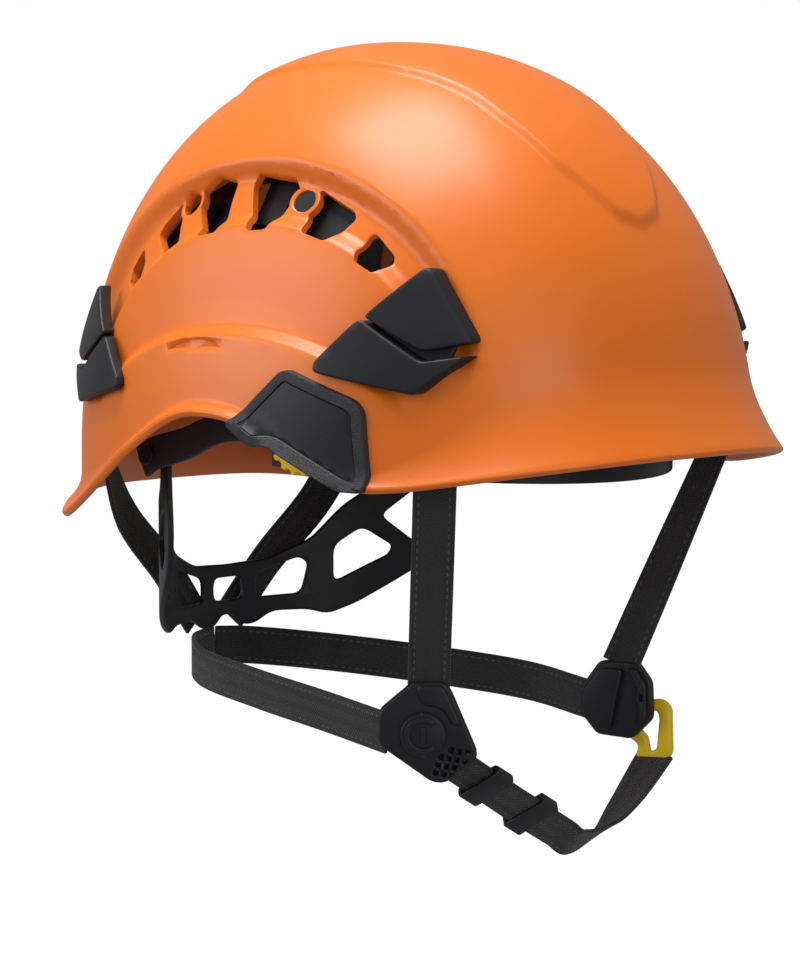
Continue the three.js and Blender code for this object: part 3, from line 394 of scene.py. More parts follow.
wear_and_highlight_group.links.new(wear_and_highlight_in.outputs["Edge wear and highlight"], lightened_edges.inputs["B"])
wear_and_highlight_group.links.new(lightened_edges.outputs["Result"], wear_and_highlight_out.inputs["Colour"])
wear_and_highlight_group.links.new(wear_and_highlight_mask, wear_and_highlight_out.inputs["Mask"])


def moulded_plastic(name, dark, light, wear_and_highlight_colour, roughness, grain, bump, coat=0.0, wear_and_highlight=0.5,
                    gloss=0.5):
    """A moulded finish that drifts between two colours, with tooling grain and edges painted paler,
    partly as wear and partly as a painted highlight.
    """
    material = bpy.data.materials.new(name)
    material.use_nodes = True
    tree = material.node_tree
    shader = tree.nodes["Principled BSDF"]
    where = tree.nodes.new("ShaderNodeTexCoord").outputs["Object"]
    grained = tree.nodes.new("ShaderNodeGroup")
    grained.node_tree = grain_group
    grained.inputs["Grain"].default_value = grain
    tree.links.new(where, grained.inputs["Vector"])
    drift = tree.nodes.new("ShaderNodeMix")
    drift.data_type = "RGBA"
    drift.inputs["A"].default_value = (*dark, 1)
    drift.inputs["B"].default_value = (*light, 1)
    tree.links.new(grained.outputs["Mottle"], drift.inputs["Factor"])
    # Paler edges: part handling wear, part painted highlight.
    edge_lightening = tree.nodes.new("ShaderNodeGroup")
    edge_lightening.node_tree = wear_and_highlight_group
    edge_lightening.inputs["Edge wear and highlight"].default_value = (*wear_and_highlight_colour, 1)
    edge_lightening.inputs["Amount"].default_value = wear_and_highlight
    tree.links.new(where, edge_lightening.inputs["Vector"])
    tree.links.new(drift.outputs["Result"], edge_lightening.inputs["Colour"])
    tree.links.new(edge_lightening.outputs["Colour"], shader.inputs["Base Color"])
    tree.links.new(spread(tree, grained.outputs["Mottle"], 0.3, 0.7, roughness - 0.04,
                          roughness + 0.05), shader.inputs["Roughness"])
    relief = tree.nodes.new("ShaderNodeBump")
    relief.inputs["Distance"].default_value = bump
    relief.inputs["Strength"].default_value = 0.6
    tree.links.new(grained.outputs["Height"], relief.inputs["Height"])
    tree.links.new(relief.outputs["Normal"], shader.inputs["Normal"])
    shader.inputs["Coat Weight"].default_value = coat
    shader.inputs["Specular IOR Level"].default_value = gloss
    shader.inputs["Coat Roughness"].default_value = 0.25
    return material


def piece(name, bm, body, material, stands_for=(), sharp=38):
    """Turns a finished bmesh in millimetres into an object that rides on a body."""
    bmesh.ops.scale(bm, vec=(MM, MM, MM), verts=bm.verts)
    mesh = bpy.data.meshes.new(name)
    bm.to_mesh(mesh)
    bm.free()
    mesh.materials.append(material)
    mesh.shade_smooth()
    mesh.set_sharp_from_angle(angle=math.radians(sharp))
    made = bpy.data.objects.new(name, mesh)
    bpy.context.scene.collection.objects.link(made)
    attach(made, body)
    if stands_for:
        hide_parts(*([stands_for] if isinstance(stands_for, str) else stands_for))
    return made


# The third colour of each finish is its paler edge colour, part wear and part painted highlight.
ORANGE = moulded_plastic("shell_orange", (0.80, 0.160, 0.005), (0.86, 0.185, 0.008),
                         (0.95, 0.30, 0.05), 0.38, 1.0, 0.00003, coat=0.08, wear_and_highlight=0.25)
piece("helmet_shell", shell_bm, "helmet", ORANGE, "shell", sharp=50)

# ------------------------------------------------------------------ lamp clips and slot covers
# Glass-filled nylon mouldings that snap into the shell. Each lamp clip is an upper blade and a
# lower plate over a sunk web, so a headlamp's strap goes between them. A cover closes each
# accessory slot, and has a grained border round a smooth, slightly sunk field.
def softened(points, radius, steps=4):
    """An outline whose corners are rounded by quadratic curves."""
    rounded = []
    for before, here, after in zip(points[-1:] + points[:-1], points, points[1:] + points[:1]):
        p = Vector(here)
        to_a, to_b = Vector(before) - p, Vector(after) - p
        reach = min(radius, to_a.length * 0.45, to_b.length * 0.45)
        a, b = p + to_a.normalized() * reach, p + to_b.normalized() * reach
        for k in range(steps + 1):
            t = k / steps
            rounded.append(tuple(a * (1 - t) ** 2 + p * 2 * t * (1 - t) + b * t * t))
    return rounded


def flat_plate(outline, thickness, edge, corner=1.5, holes=(), hole_corner=1.0, profile=2):
    """A plate with rounded edges, its middle plane at z = 0, from an outline with holes."""
    curve = bpy.data.curves.new("outline", "CURVE")
    curve.dimensions = "2D"
    curve.fill_mode = "BOTH"
    loops = [(outline, corner)] + [(hole, hole_corner) for hole in holes]
    for points, radius in loops:
        rounded = softened(anticlockwise(points), radius)
        spline = curve.splines.new("POLY")
        spline.points.add(len(rounded) - 1)
        for point, (u, v) in zip(spline.points, rounded):
            point.co = (u, v, 0, 1)
        spline.use_cyclic_u = True
    curve.extrude = thickness / 2 - edge
    curve.bevel_depth = edge
    curve.bevel_resolution = profile
    curve.offset = -edge
    holder = bpy.data.objects.new("outline", curve)
    mesh = bpy.data.meshes.new_from_object(holder)
    bm = bmesh.new()
    bm.from_mesh(mesh)
    bpy.data.objects.remove(holder)
    bpy.data.curves.remove(curve)
    bpy.data.meshes.remove(mesh)
    bmesh.ops.remove_doubles(bm, verts=bm.verts, dist=0.005)
    bmesh.ops.recalc_face_normals(bm, faces=bm.faces)
    return bm


def sliced(bm, normal, step):
    """Cuts a plate across at even steps, so that it can bend."""
    along = [v.co.dot(Vector(normal)) for v in bm.verts]
    for place in np.arange(min(along) + step, max(along), step):
        bmesh.ops.bisect_plane(bm, geom=bm.verts[:] + bm.edges[:] + bm.faces[:], dist=1e-4,
                               plane_co=Vector(normal) * place, plane_no=normal)
    return bm


def draped(bm, side):
    """Lays a plate, modelled with x forward-and-back and y up, on one side of the shell."""
    for v in bm.verts:
        y, z, proud = v.co
        v.co = (side * float(side_x(np.array(y), np.array(z), np.array(proud))), y, z)
    bmesh.ops.recalc_face_normals(bm, faces=bm.faces)
    return bm


def joined(*parts):
    """One bmesh that holds several."""
    whole = bmesh.new()
    for part in parts:
        mesh = bpy.data.meshes.new("part")
        part.to_mesh(mesh)
        part.free()
        whole.from_mesh(mesh)
        bpy.data.meshes.remove(mesh)
    return whole


def raised(bm, amount):
    bmesh.ops.translate(bm, vec=(0, 0, amount), verts=bm.verts)
    return bm


def fielded(bm, frame_width, drop, groove):
    """Sinks the field of a plate's front inside a border, with a fine groove round it."""
    top = max(v.co.z for v in bm.verts)
    front = [f for f in bm.faces if f.calc_center_median().z > top - 1e-3 and f.normal.z > 0.9]
    bmesh.ops.dissolve_faces(bm, faces=front)
    front = [f for f in bm.faces if f.calc_center_median().z > top - 1e-3 and f.normal.z > 0.9]
    bmesh.ops.inset_region(bm, faces=front, thickness=frame_width)
    bmesh.ops.inset_region(bm, faces=front, thickness=groove, depth=-drop - groove)
    bmesh.ops.inset_region(bm, faces=front, thickness=groove, depth=groove)
    return bm


CLIP_UPPER = [(-60.7, 55.6), (-76, 72.3), (-78.5, 71.4), (-93.5, 48.8), (-93.8, 47), (-82.2, 44.3),
              (-79.6, 44.8)]
CLIP_LOWER = [(-45.6, 37.4), (-45.8, 40), (-58.4, 54), (-60.4, 54.4), (-80.8, 40.6), (-94, 42.8),
              (-80, 29.3), (-46.8, 36.2)]
CLIP_WEB = [(-62, 50), (-61, 57), (-74, 60), (-88, 48), (-86, 38), (-76, 38)]
SLOT_COVER = [(-12.8, 17.5), (-32, 36.3), (-35.2, 37), (-60.5, 27.2), (-63.7, 23.2), (-66.8, -4.2),
              (-58, -3.8), (-30.8, 10.6), (-23.7, 10.3)]
CLIP_PROUD, CLIP_BED, WEB_SUNK, CLIP_EDGE = 3.6, 1.4, 0.4, 0.9
COVER_PROUD, COVER_BED, COVER_BORDER = 2.2, 1.2, 3.0
REAR_CLIP_TURN, REAR_CLIP_DROP = 2, 9

BLACK = moulded_plastic("black_nylon", (0.012, 0.011, 0.015), (0.017, 0.016, 0.021),
                        (0.085, 0.085, 0.095), 0.40, 1.0, 0.00006, wear_and_highlight=0.8, gloss=0.32)
GRAINED = moulded_plastic("grained_nylon", (0.022, 0.022, 0.027), (0.036, 0.036, 0.042),
                          (0.11, 0.11, 0.12), 0.5, 2.5, 0.00025, wear_and_highlight=0.9, gloss=0.35)


def clip_plate(outline, proud, bed, edge, turned, side):
    if turned:
        outline = [(REAR_CLIP_TURN - y, z - REAR_CLIP_DROP) for y, z in outline]
    plate = raised(flat_plate(outline, proud + bed, edge, corner=1.6), (proud - bed) / 2)
    sliced(sliced(plate, (1, 0, 0), 3), (0, 1, 0), 3)
    return draped(plate, side)


for side, label in ((-1, "right"), (1, "left")):
    for turned, place in ((False, "front"), (True, "rear")):
        clip = joined(clip_plate(CLIP_UPPER, CLIP_PROUD, CLIP_BED, CLIP_EDGE, turned, side),
                      clip_plate(CLIP_LOWER, CLIP_PROUD, CLIP_BED, CLIP_EDGE, turned, side),
                      clip_plate(CLIP_WEB, -WEB_SUNK, CLIP_BED, 0.2, turned, side))
        name = f"lamp_clip_{place}_{label}"
        piece(name + "_moulding", clip, "helmet", BLACK, name)
    cover = raised(flat_plate(SLOT_COVER, COVER_PROUD + COVER_BED, 0.6, corner=2.2),
                   (COVER_PROUD - COVER_BED) / 2)
    fielded(cover, COVER_BORDER, 0.35, 0.3)
    sliced(sliced(cover, (1, 0, 0), 3), (0, 1, 0), 3)
    cover = piece(f"slot_cover_{label}_moulding", draped(cover, side), "helmet", BLACK,
                  f"slot_cover_{label}")
    cover.data.materials.append(GRAINED)
    border = grown(anticlockwise(SLOT_COVER), -COVER_BORDER - 0.3)
    centres = np.array([f.center for f in cover.data.polygons]) / MM
    on_border = outline_distance(border, centres[:, 1], centres[:, 2]) > 0
    for face, is_border in zip(cover.data.polygons, on_border):
        face.material_index = int(is_border)

# ------------------------------------------------------------------ vent shutters and their plugs
# A thin black sheet slides behind each row of vents to shut them. Two round plugs, flush with
# the shell, snap through it and carry the sheet on their shanks.
def kept_with(names, material, edge):
    """Gives moulded edges and a finish to pieces whose modelled form is final."""
    for name in names:
        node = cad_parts[name]
        node.data.materials.clear()
        node.data.materials.append(material)
        weld = node.modifiers.new("weld", "WELD")
        weld.merge_threshold = 0.00001
        bevel = node.modifiers.new("edge", "BEVEL")
        bevel.width = edge * MM
        bevel.segments = 2
        bevel.limit_method = "ANGLE"
        bevel.angle_limit = math.radians(32)


SIDES = ("right", "left")
kept_with([f"vent_shutter_{s}" for s in SIDES], BLACK, 0.4)
kept_with([f"shutter_pin_{p}_{s}" for p in ("rear", "front") for s in SIDES], BLACK, 0.5)


# ------------------------------------------------------------------ headband front and pad
# A flexible black nylon band round the forehead with a row of long slots, and a fabric-covered
# foam pad inside it at the brow. The band's ends run into the adjusters.
HEAD_WIDTH, HEAD_LENGTH, HEAD_CENTRE, FRONT_NARROWER = 88, 102, 2, 7
BROW_Z, BAND_MIDDLE, BAND_END, BAND_ANGLE, BAND_THICK = 10, 28, 18, 80, 2


def head_point(turn, z, out, narrower=0.0):
    """A point on the outline of the head; turn 0 is the forehead, in radians."""
    return Vector(((HEAD_WIDTH - narrower + out) * math.sin(turn),
                   HEAD_CENTRE - (HEAD_LENGTH + out) * math.cos(turn), z))


def wrapped(bm, radius, z, out, narrower=0.0):
    """Bends a plate round the head: its x becomes length round it and its y height."""
    for v in bm.verts:
        turn = v.co.x / radius
        v.co = head_point(turn, z + v.co.y, out + v.co.z, narrower)
    bmesh.ops.recalc_face_normals(bm, faces=bm.faces)
    return bm


BAND_RADIUS = 94
end = math.radians(BAND_ANGLE) * BAND_RADIUS
upper = [(end * k / 12, (BAND_MIDDLE - (BAND_MIDDLE - BAND_END) * (k / 12) ** 2) / 2)
         for k in range(-12, 13)]
band_outline = upper + [(x, -y) for x, y in reversed(upper)]
SLOT_LONG, SLOT_TALL, SLOT_PITCH, SLOT_LIMIT = 13, 4.5, 18.5, 96
slots = []
for k in range(-6, 7):
    for level in (-6, 6):
        middle = k * SLOT_PITCH
        reach = SLOT_LONG / 2
        slots.append([(middle - reach, level - SLOT_TALL / 2), (middle + reach, level - SLOT_TALL / 2),
                      (middle + reach, level + SLOT_TALL / 2), (middle - reach, level + SLOT_TALL / 2)])
slots = [s for s in slots if abs(s[0][0]) < SLOT_LIMIT and abs(s[1][0]) < SLOT_LIMIT]
front_band = sliced(flat_plate(band_outline, BAND_THICK, 0.4, corner=2, holes=slots, hole_corner=2),
                    (1, 0, 0), 4)
piece("headband_strip", wrapped(front_band, BAND_RADIUS, BROW_Z, 0, FRONT_NARROWER), "helmet",
      BLACK, "headband_front")

PAD_ANGLE, PAD_THICK, PAD_TALL = 42, 4, 26
SEAM_AT, SEAM_WIDTH, SEAM_DEPTH = 24, 1.6, 0.35
pad_bm = bmesh.new()
bmesh.ops.create_cube(pad_bm, size=1)
bmesh.ops.subdivide_edges(pad_bm, edges=pad_bm.edges[:], cuts=1, use_grid_fill=True)
pad_reach = math.radians(PAD_ANGLE) * BAND_RADIUS
bmesh.ops.scale(pad_bm, vec=(2 * pad_reach, PAD_TALL, PAD_THICK), verts=pad_bm.verts)
sliced(sliced(pad_bm, (1, 0, 0), 3), (0, 1, 0), 2)
for v in pad_bm.verts:
    across, along = v.co.y / (PAD_TALL / 2), v.co.x / pad_reach
    rounding = max(1 - abs(across) ** 4, 0) ** 0.5 * max(1 - abs(along) ** 16, 0) ** 0.5
    seam = math.exp(-((abs(v.co.x) - SEAM_AT) / SEAM_WIDTH) ** 2) * SEAM_DEPTH
    v.co.z *= 0.25 + 0.75 * rounding * (1 - seam)
pad_in = -(BAND_THICK / 2 + 0.3 + PAD_THICK / 2)
FOAM = moulded_plastic("pad_fabric", (0.020, 0.020, 0.023), (0.035, 0.035, 0.04),
                       (0.07, 0.07, 0.075), 0.9, 4.0, 0.0004, wear_and_highlight=0.6)
FOAM.node_tree.nodes["Principled BSDF"].inputs["Sheen Weight"].default_value = 0.4
piece("brow_pad", wrapped(pad_bm, BAND_RADIUS, BROW_Z, pad_in, FRONT_NARROWER), "helmet",
                FOAM, "forehead_pad", sharp=60)

# ------------------------------------------------------------------ adjusters and side arms
# A housing over each temple guides the arm of the rear headband. Its toothed yellow wheel works
# a pinion on the arm's rack. Each arm tapers back to an eye, where a pin joins the nape's band.
kept_with([f"adjuster_housing_{s}" for s in SIDES], BLACK, 0.6)
WHEEL_Y, WHEEL_Z, WHEEL_RADIUS, WHEEL_THICK, WHEEL_TEETH = -29, 14.5, 15.2, 5, 18
WHEEL_OUTER, HUB_RADIUS, ROOT_RADIUS = 93.9, 6, 13.9
YELLOW = moulded_plastic("yellow_nylon", (0.93, 0.60, 0.006), (0.96, 0.66, 0.010),
                         (0.9, 0.7, 0.15), 0.38, 0.6, 0.00003, wear_and_highlight=0.4)
for side, label in ((-1, "right"), (1, "left")):
    teeth = []
    for k in range(WHEEL_TEETH):
        for share, radius in ((-0.27, ROOT_RADIUS), (-0.2, WHEEL_RADIUS), (0.2, WHEEL_RADIUS),
                              (0.27, ROOT_RADIUS)):
            turn = 2 * math.pi * (k + share) / WHEEL_TEETH
            teeth.append((radius * math.cos(turn), radius * math.sin(turn)))
    disc = flat_plate(teeth, WHEEL_THICK, 0.6, corner=0.9)
    hub = bmesh.new()
    bmesh.ops.create_cone(hub, cap_ends=True, segments=40, radius1=HUB_RADIUS, radius2=HUB_RADIUS,
                          depth=WHEEL_THICK + 1.6)
    wheel_bm = joined(disc, raised(hub, -0.8))
    facing_out = Matrix(((0, 0, side), (side, 0, 0), (0, 1, 0)))
    bmesh.ops.transform(wheel_bm, matrix=facing_out.to_4x4(), verts=wheel_bm.verts)
    bmesh.ops.translate(wheel_bm, vec=(side * (WHEEL_OUTER - WHEEL_THICK / 2), WHEEL_Y, WHEEL_Z),
                        verts=wheel_bm.verts)
    piece(f"toothed_wheel_{label}", wheel_bm, f"wheel_{label}", YELLOW,
          f"adjuster_wheel_{label}")


def catmull(points, t):
    """A point on the smooth line through the points; t runs over their places in the list."""
    k = min(int(t), len(points) - 2)
    b, c = points[k], points[k + 1]
    a = points[k - 1] if k else 2 * b - c
    d = points[k + 2] if k + 2 < len(points) else 2 * c - b
    ab, bc, cd = ((q - p).length ** 0.5 for p, q in ((a, b), (b, c), (c, d)))
    leave = ((b - a) / ab - (c - a) / (ab + bc) + (c - b) / bc) * bc
    arrive = ((c - b) / bc - (d - b) / (bc + cd) + (d - c) / cd) * bc
    s = t - k
    return (b * (2 * s ** 3 - 3 * s ** 2 + 1) + leave * (s ** 3 - 2 * s ** 2 + s)
            + c * (3 * s ** 2 - 2 * s ** 3) + arrive * (s ** 3 - s ** 2))


def strap(points, across, width, thickness, steps=60):
    """A flat band along a line, with its length and width in millimetres as its UVs."""
    points = [Vector(p) for p in points]
    across = [Vector(a) for a in across]
    bm = bmesh.new()
    bm.loops.layers.uv.new("UVMap")
    bmesh.ops.create_grid(bm, x_segments=steps, y_segments=8, size=1, calc_uvs=True)
    last = len(points) - 1
    frames = []
    length = 0.0
    for i in range(steps + 1):
        t = last * i / steps
        k = min(int(t), last - 1)
        centre = catmull(points, t)
        tangent = catmull(points, min(t + 0.01, last)) - catmull(points, max(t - 0.01, 0))
        tangent.normalize()
        sideways = across[k].lerp(across[k + 1], t - k)
        sideways = (sideways - tangent * sideways.dot(tangent)).normalized()
        length += (centre - frames[-1][0]).length if frames else 0
        frames.append((centre, sideways, tangent.cross(sideways), length))
    uv_layer = bm.loops.layers.uv.active
    for face in bm.faces:
        for loop in face.loops:
            i = round((loop.vert.co.x + 1) / 2 * steps)
            loop[uv_layer].uv = (frames[i][3], loop.vert.co.y * width(i / steps) / 2)
    for v in bm.verts:
        i = round((v.co.x + 1) / 2 * steps)
        centre, sideways, out, _ = frames[i]
        half = v.co.y * width(i / steps) / 2
        v.co = centre + sideways * half + out * (thickness / 2)
    bmesh.ops.recalc_face_normals(bm, faces=bm.faces)
    bm.normal_update()
    if sum(f.normal.dot(frames[round(steps / 2)][2]) for f in bm.faces) < 0:
        bmesh.ops.reverse_faces(bm, faces=bm.faces)
    bmesh.ops.solidify(bm, geom=bm.faces[:], thickness=thickness)
    bmesh.ops.recalc_face_normals(bm, faces=bm.faces)
    bm.normal_update()
    corners = [e for e in bm.edges if len(e.link_faces) == 2
               and e.calc_face_angle() > math.radians(60)]
    bmesh.ops.bevel(bm, geom=corners, offset=min(0.45, thickness * 0.32), segments=2, profile=0.5,
                    material=-1, affect="EDGES")
    return bm


ARM_X, ARM_THICK, ARM_TALL, ARM_FRONT = 85, 2.4, 12, -45
PIVOT_Y, PIVOT_Z, PIVOT_OUT = 62, 1, 7
pivot_x = HEAD_WIDTH * math.sqrt(1 - ((PIVOT_Y - HEAD_CENTRE) / HEAD_LENGTH) ** 2)
arm_end = pivot_x + PIVOT_OUT
for side, label in ((-1, "right"), (1, "left")):
    route = [(side * ARM_X, ARM_FRONT, WHEEL_Z), (side * ARM_X, -20, WHEEL_Z),
             (side * ARM_X, 4, WHEEL_Z), (side * (ARM_X - 0.4), 20, WHEEL_Z - 1.5),
             (side * (ARM_X - 3.5), 40, WHEEL_Z - 8), (side * arm_end, PIVOT_Y, PIVOT_Z),
             (side * (arm_end - 1), PIVOT_Y + 6, PIVOT_Z - 3)]
    up = [(0, 0.2 * max(k - 3, 0), 1) for k in range(len(route))]
    arm = strap(route, up, lambda u: ARM_TALL - 1.5 * math.sin(math.pi * min(u / 0.8, 1)) ** 2,
                ARM_THICK, 60)
    piece(f"arm_strip_{label}", arm, f"arm_{label}", GRAINED, f"side_arm_{label}")
kept_with([f"pivot_pin_{s}" for s in SIDES], BLACK, 0.4)

# ------------------------------------------------------------------ rear headband
# The nape's lattice: one satin nylon moulding bent round the back of the head, with long
# windows in each leg, that folds up into the shell about the two pivot pins.
LATTICE_THICK = 2.2
LATTICE_EDGE = [
    (0, -49), (20, -48), (39, -41), (52, -28), (64, -20), (78, -12), (80.5, -3), (80, 3), (83, 7),
    (88, 7), (91.5, 3), (92, -4), (93, -14), (95, -28), (93, -42), (85, -51), (72, -59), (58, -67),
    (46, -71.5), (38, -69.2), (22, -69), (14, -73.5), (8, -73.5), (3, -69), (0, -68.8)]
LATTICE_HOLES = [
    [(14.5, -63), (14.5, -53.5), (34, -48), (38, -50.5), (35, -62.5)],
    [(48.5, -44), (60, -36.5), (72, -44), (70.5, -47.5), (48.5, -58.5)],
    [(67.5, -32), (81, -21.5), (87, -19.5), (88.5, -36), (83.5, -42.5), (80, -41.5)]]
lattice_outline = LATTICE_EDGE + [(-s, z) for s, z in LATTICE_EDGE[-2:0:-1]]
lattice_holes = [[(-8, -63), (-8, -54), (8, -54), (8, -63)], *LATTICE_HOLES,
                 *([(-s, z) for s, z in hole] for hole in LATTICE_HOLES)]
lattice = flat_plate(lattice_outline, LATTICE_THICK, 0.7, corner=4, holes=lattice_holes,
                     hole_corner=3.5)
sliced(lattice, (1, 0, 0), 4)
turns = np.radians(np.arange(0, 81))
steps_round = np.hypot(HEAD_WIDTH * np.cos(turns + math.radians(0.5)),
                       HEAD_LENGTH * np.sin(turns + math.radians(0.5))) * math.radians(1)
lengths = np.concatenate([[0], np.cumsum(steps_round)[:-1]])
for v in lattice.verts:
    turn = math.copysign(float(np.interp(abs(v.co.x), lengths, turns)), v.co.x)
    v.co = head_point(math.pi + turn, v.co.y, v.co.z)
bmesh.ops.recalc_face_normals(lattice, faces=lattice.faces)
piece("nape_lattice", lattice, "rear_band", BLACK, "rear_headband")

# ------------------------------------------------------------------ webbing cradle and its anchors
# Three straps of thin webbing cross under the crown. Their ends loop through black plates that
# snap to the inside of the shell at six places.
weave_group, weave_in, weave_out = shader_group(
    "webbing_weave", [("Millimetres", VECTOR, None), ("Half width", FLOAT, 7.5)],
    [("Height", FLOAT), ("Stitch", FLOAT), ("Edge", FLOAT)])
split = weave_group.nodes.new("ShaderNodeSeparateXYZ")
weave_group.links.new(weave_in.outputs["Millimetres"], split.inputs["Vector"])
run_along, run_across = split.outputs["X"], split.outputs["Y"]
from_middle = maths(weave_group, "ABSOLUTE", run_across)
to_edge = maths(weave_group, "SUBTRACT", weave_in.outputs["Half width"], from_middle)
chevron = maths(weave_group, "PINGPONG", run_across, 2.4)
twill = maths(weave_group, "SINE", maths(weave_group, "MULTIPLY", maths(
    weave_group, "ADD", run_along, maths(weave_group, "MULTIPLY", chevron, 0.9)), 2 * math.pi / 1.25))
warp = maths(weave_group, "SINE", maths(weave_group, "MULTIPLY", run_across, 2 * math.pi / 0.8))
height = maths(weave_group, "ADD", maths(weave_group, "MULTIPLY", twill, 0.5),
               maths(weave_group, "MULTIPLY", warp, 0.35))
edge_mask = spread(weave_group, to_edge, 1.2, 1.5, 1, 0)
pull = maths(weave_group, "MULTIPLY", edge_mask, 0.6)
row_mask = spread(weave_group, maths(weave_group, "ABSOLUTE", maths(
    weave_group, "SUBTRACT", to_edge, 2.1)), 0.22, 0.3, 1, 0)
dash = spread(weave_group, maths(weave_group, "SINE", maths(
    weave_group, "MULTIPLY", run_along, 2 * math.pi / 3.0)), -0.1, 0.1, 0, 1)
stitch = maths(weave_group, "MULTIPLY", row_mask, dash)
raised_thread = maths(weave_group, "ADD", maths(weave_group, "ADD", height, pull), stitch)
weave_group.links.new(raised_thread, weave_out.inputs["Height"])
weave_group.links.new(stitch, weave_out.inputs["Stitch"])
weave_group.links.new(edge_mask, weave_out.inputs["Edge"])


def webbing(name, width, stitched):
    """Black polyester webbing of one width, with or without rows of edge stitching."""
    material = bpy.data.materials.new(name)
    material.use_nodes = True
    tree = material.node_tree
    shader = tree.nodes["Principled BSDF"]
    uv = tree.nodes.new("ShaderNodeUVMap").outputs["UV"]
    woven = tree.nodes.new("ShaderNodeGroup")
    woven.node_tree = weave_group
    woven.inputs["Half width"].default_value = width / 2
    tree.links.new(uv, woven.inputs["Millimetres"])
    where = tree.nodes.new("ShaderNodeTexCoord").outputs["Object"]
    fade = spread(tree, noise(tree, where, 45, 4), 0.3, 0.7, 0, 0.6)
    base = tree.nodes.new("ShaderNodeMix")
    base.data_type = "RGBA"
    base.inputs["A"].default_value = (0.010, 0.010, 0.012, 1)
    base.inputs["B"].default_value = (0.026, 0.026, 0.030, 1)
    tree.links.new(fade, base.inputs["Factor"])
    thread = tree.nodes.new("ShaderNodeMix")
    thread.data_type = "RGBA"
    thread.inputs["B"].default_value = (0.09, 0.09, 0.10, 1)
    tree.links.new(maths(tree, "MULTIPLY", woven.outputs["Stitch"], 0.8 if stitched else 0.0),
                   thread.inputs["Factor"])
    tree.links.new(base.outputs["Result"], thread.inputs["A"])
    tree.links.new(thread.outputs["Result"], shader.inputs["Base Color"])
    shader.inputs["Roughness"].default_value = 0.78
    shader.inputs["Sheen Weight"].default_value = 0.25
    relief = tree.nodes.new("ShaderNodeBump")
    relief.inputs["Distance"].default_value = 0.0003
    relief.inputs["Strength"].default_value = 0.8
    tree.links.new(woven.outputs["Height"], relief.inputs["Height"])
    tree.links.new(relief.outputs["Normal"], shader.inputs["Normal"])
    return material


ANCHOR_TALL, ANCHOR_THICK, ANCHOR_OFF = 14, 3.5, 2.6
FRONT_ANCHOR, SIDE_ANCHOR, REAR_ANCHOR = (48, 12), (90, 32), (142, 3)
kept_with([f"cradle_anchor_{p}_{s}" for p in ("front", "side", "rear") for s in SIDES], BLACK, 0.7)


def anchor_place(turn, z):
    x, y = dome(np.array(math.radians(-turn)), np.array(float(z)),
                -(WALL + ANCHOR_OFF + ANCHOR_THICK / 2))
    return Vector((float(x), float(y), z))


CRADLE_WIDTH, CRADLE_THICK, CRADLE_TOP, CRADLE_STEP, CRADLE_IN = 18, 1.2, 106, 2.4, 3
CRADLE = webbing("cradle_webbing", CRADLE_WIDTH, False)
CRADLES = [("cradle_strap_side", SIDE_ANCHOR, (-SIDE_ANCHOR[0], SIDE_ANCHOR[1])),
           ("cradle_strap_right", FRONT_ANCHOR, (-REAR_ANCHOR[0], REAR_ANCHOR[1])),
           ("cradle_strap_left", (-FRONT_ANCHOR[0], FRONT_ANCHOR[1]), REAR_ANCHOR)]
for layer, (name, start_at, end_at) in enumerate(CRADLES):
    first, last = anchor_place(*start_at), anchor_place(*end_at)
    top = CRADLE_TOP - layer * CRADLE_STEP
    run = (last - first) * Vector((1, 1, 0))
    run.normalize()
    first += run * CRADLE_IN
    last -= run * CRADLE_IN
    points = []
    for k in range(11):
        share = (1 - math.cos(math.pi * k / 10)) / 2
        foot = first.z + (last.z - first.z) * share + ANCHOR_TALL / 2 + 0.3
        place = first.lerp(last, share)
        points.append((place.x, place.y, foot + (top - foot) * math.sin(math.pi * k / 10)))
    band_bm = strap(points, [(-run.y, run.x, 0)] * 11, lambda u: CRADLE_WIDTH, CRADLE_THICK, 90)
    piece(name.replace("strap", "webbing"), band_bm, "helmet", CRADLE, name)

# ------------------------------------------------------------------ harness straps
# 15 mm webbing with stitched edges: front straps fall from the front anchors to the dividers,
# upper rear straps from the rear anchors to the nape, lower ones from the nape to the dividers.
STRAP_WIDTH, STRAP_THICK, TUCK = 15, 1.5, 3
WEBBING = webbing("harness_webbing", STRAP_WIDTH, True)
DIVIDER_X, DIVIDER_Y, DIVIDER_Z, DIVIDER_THICK = 53, -52, -93, 7


def face_plane(ux, uy):
    """Directions across, up and out of a divider's face."""
    u = Vector((ux, uy, 0)).normalized()
    return u, Vector((0, 0, 1)), u.cross(Vector((0, 0, 1)))


RIGHT_FACE, LEFT_FACE = face_plane(0.68, -0.73), face_plane(0.3, -0.954)
RIGHT_MIDDLE = Vector((-DIVIDER_X, DIVIDER_Y, DIVIDER_Z))
LEFT_MIDDLE = Vector((DIVIDER_X, DIVIDER_Y, DIVIDER_Z))


def on_face(middle, face, a, b, c=0.0):
    return middle + face[0] * a + face[1] * b + face[2] * c


def harness(name, points, across, stands_for, steps=70):
    band_bm = strap(points, across, lambda u: STRAP_WIDTH, STRAP_THICK, steps)
    return piece(name, band_bm, "helmet", WEBBING, stands_for)


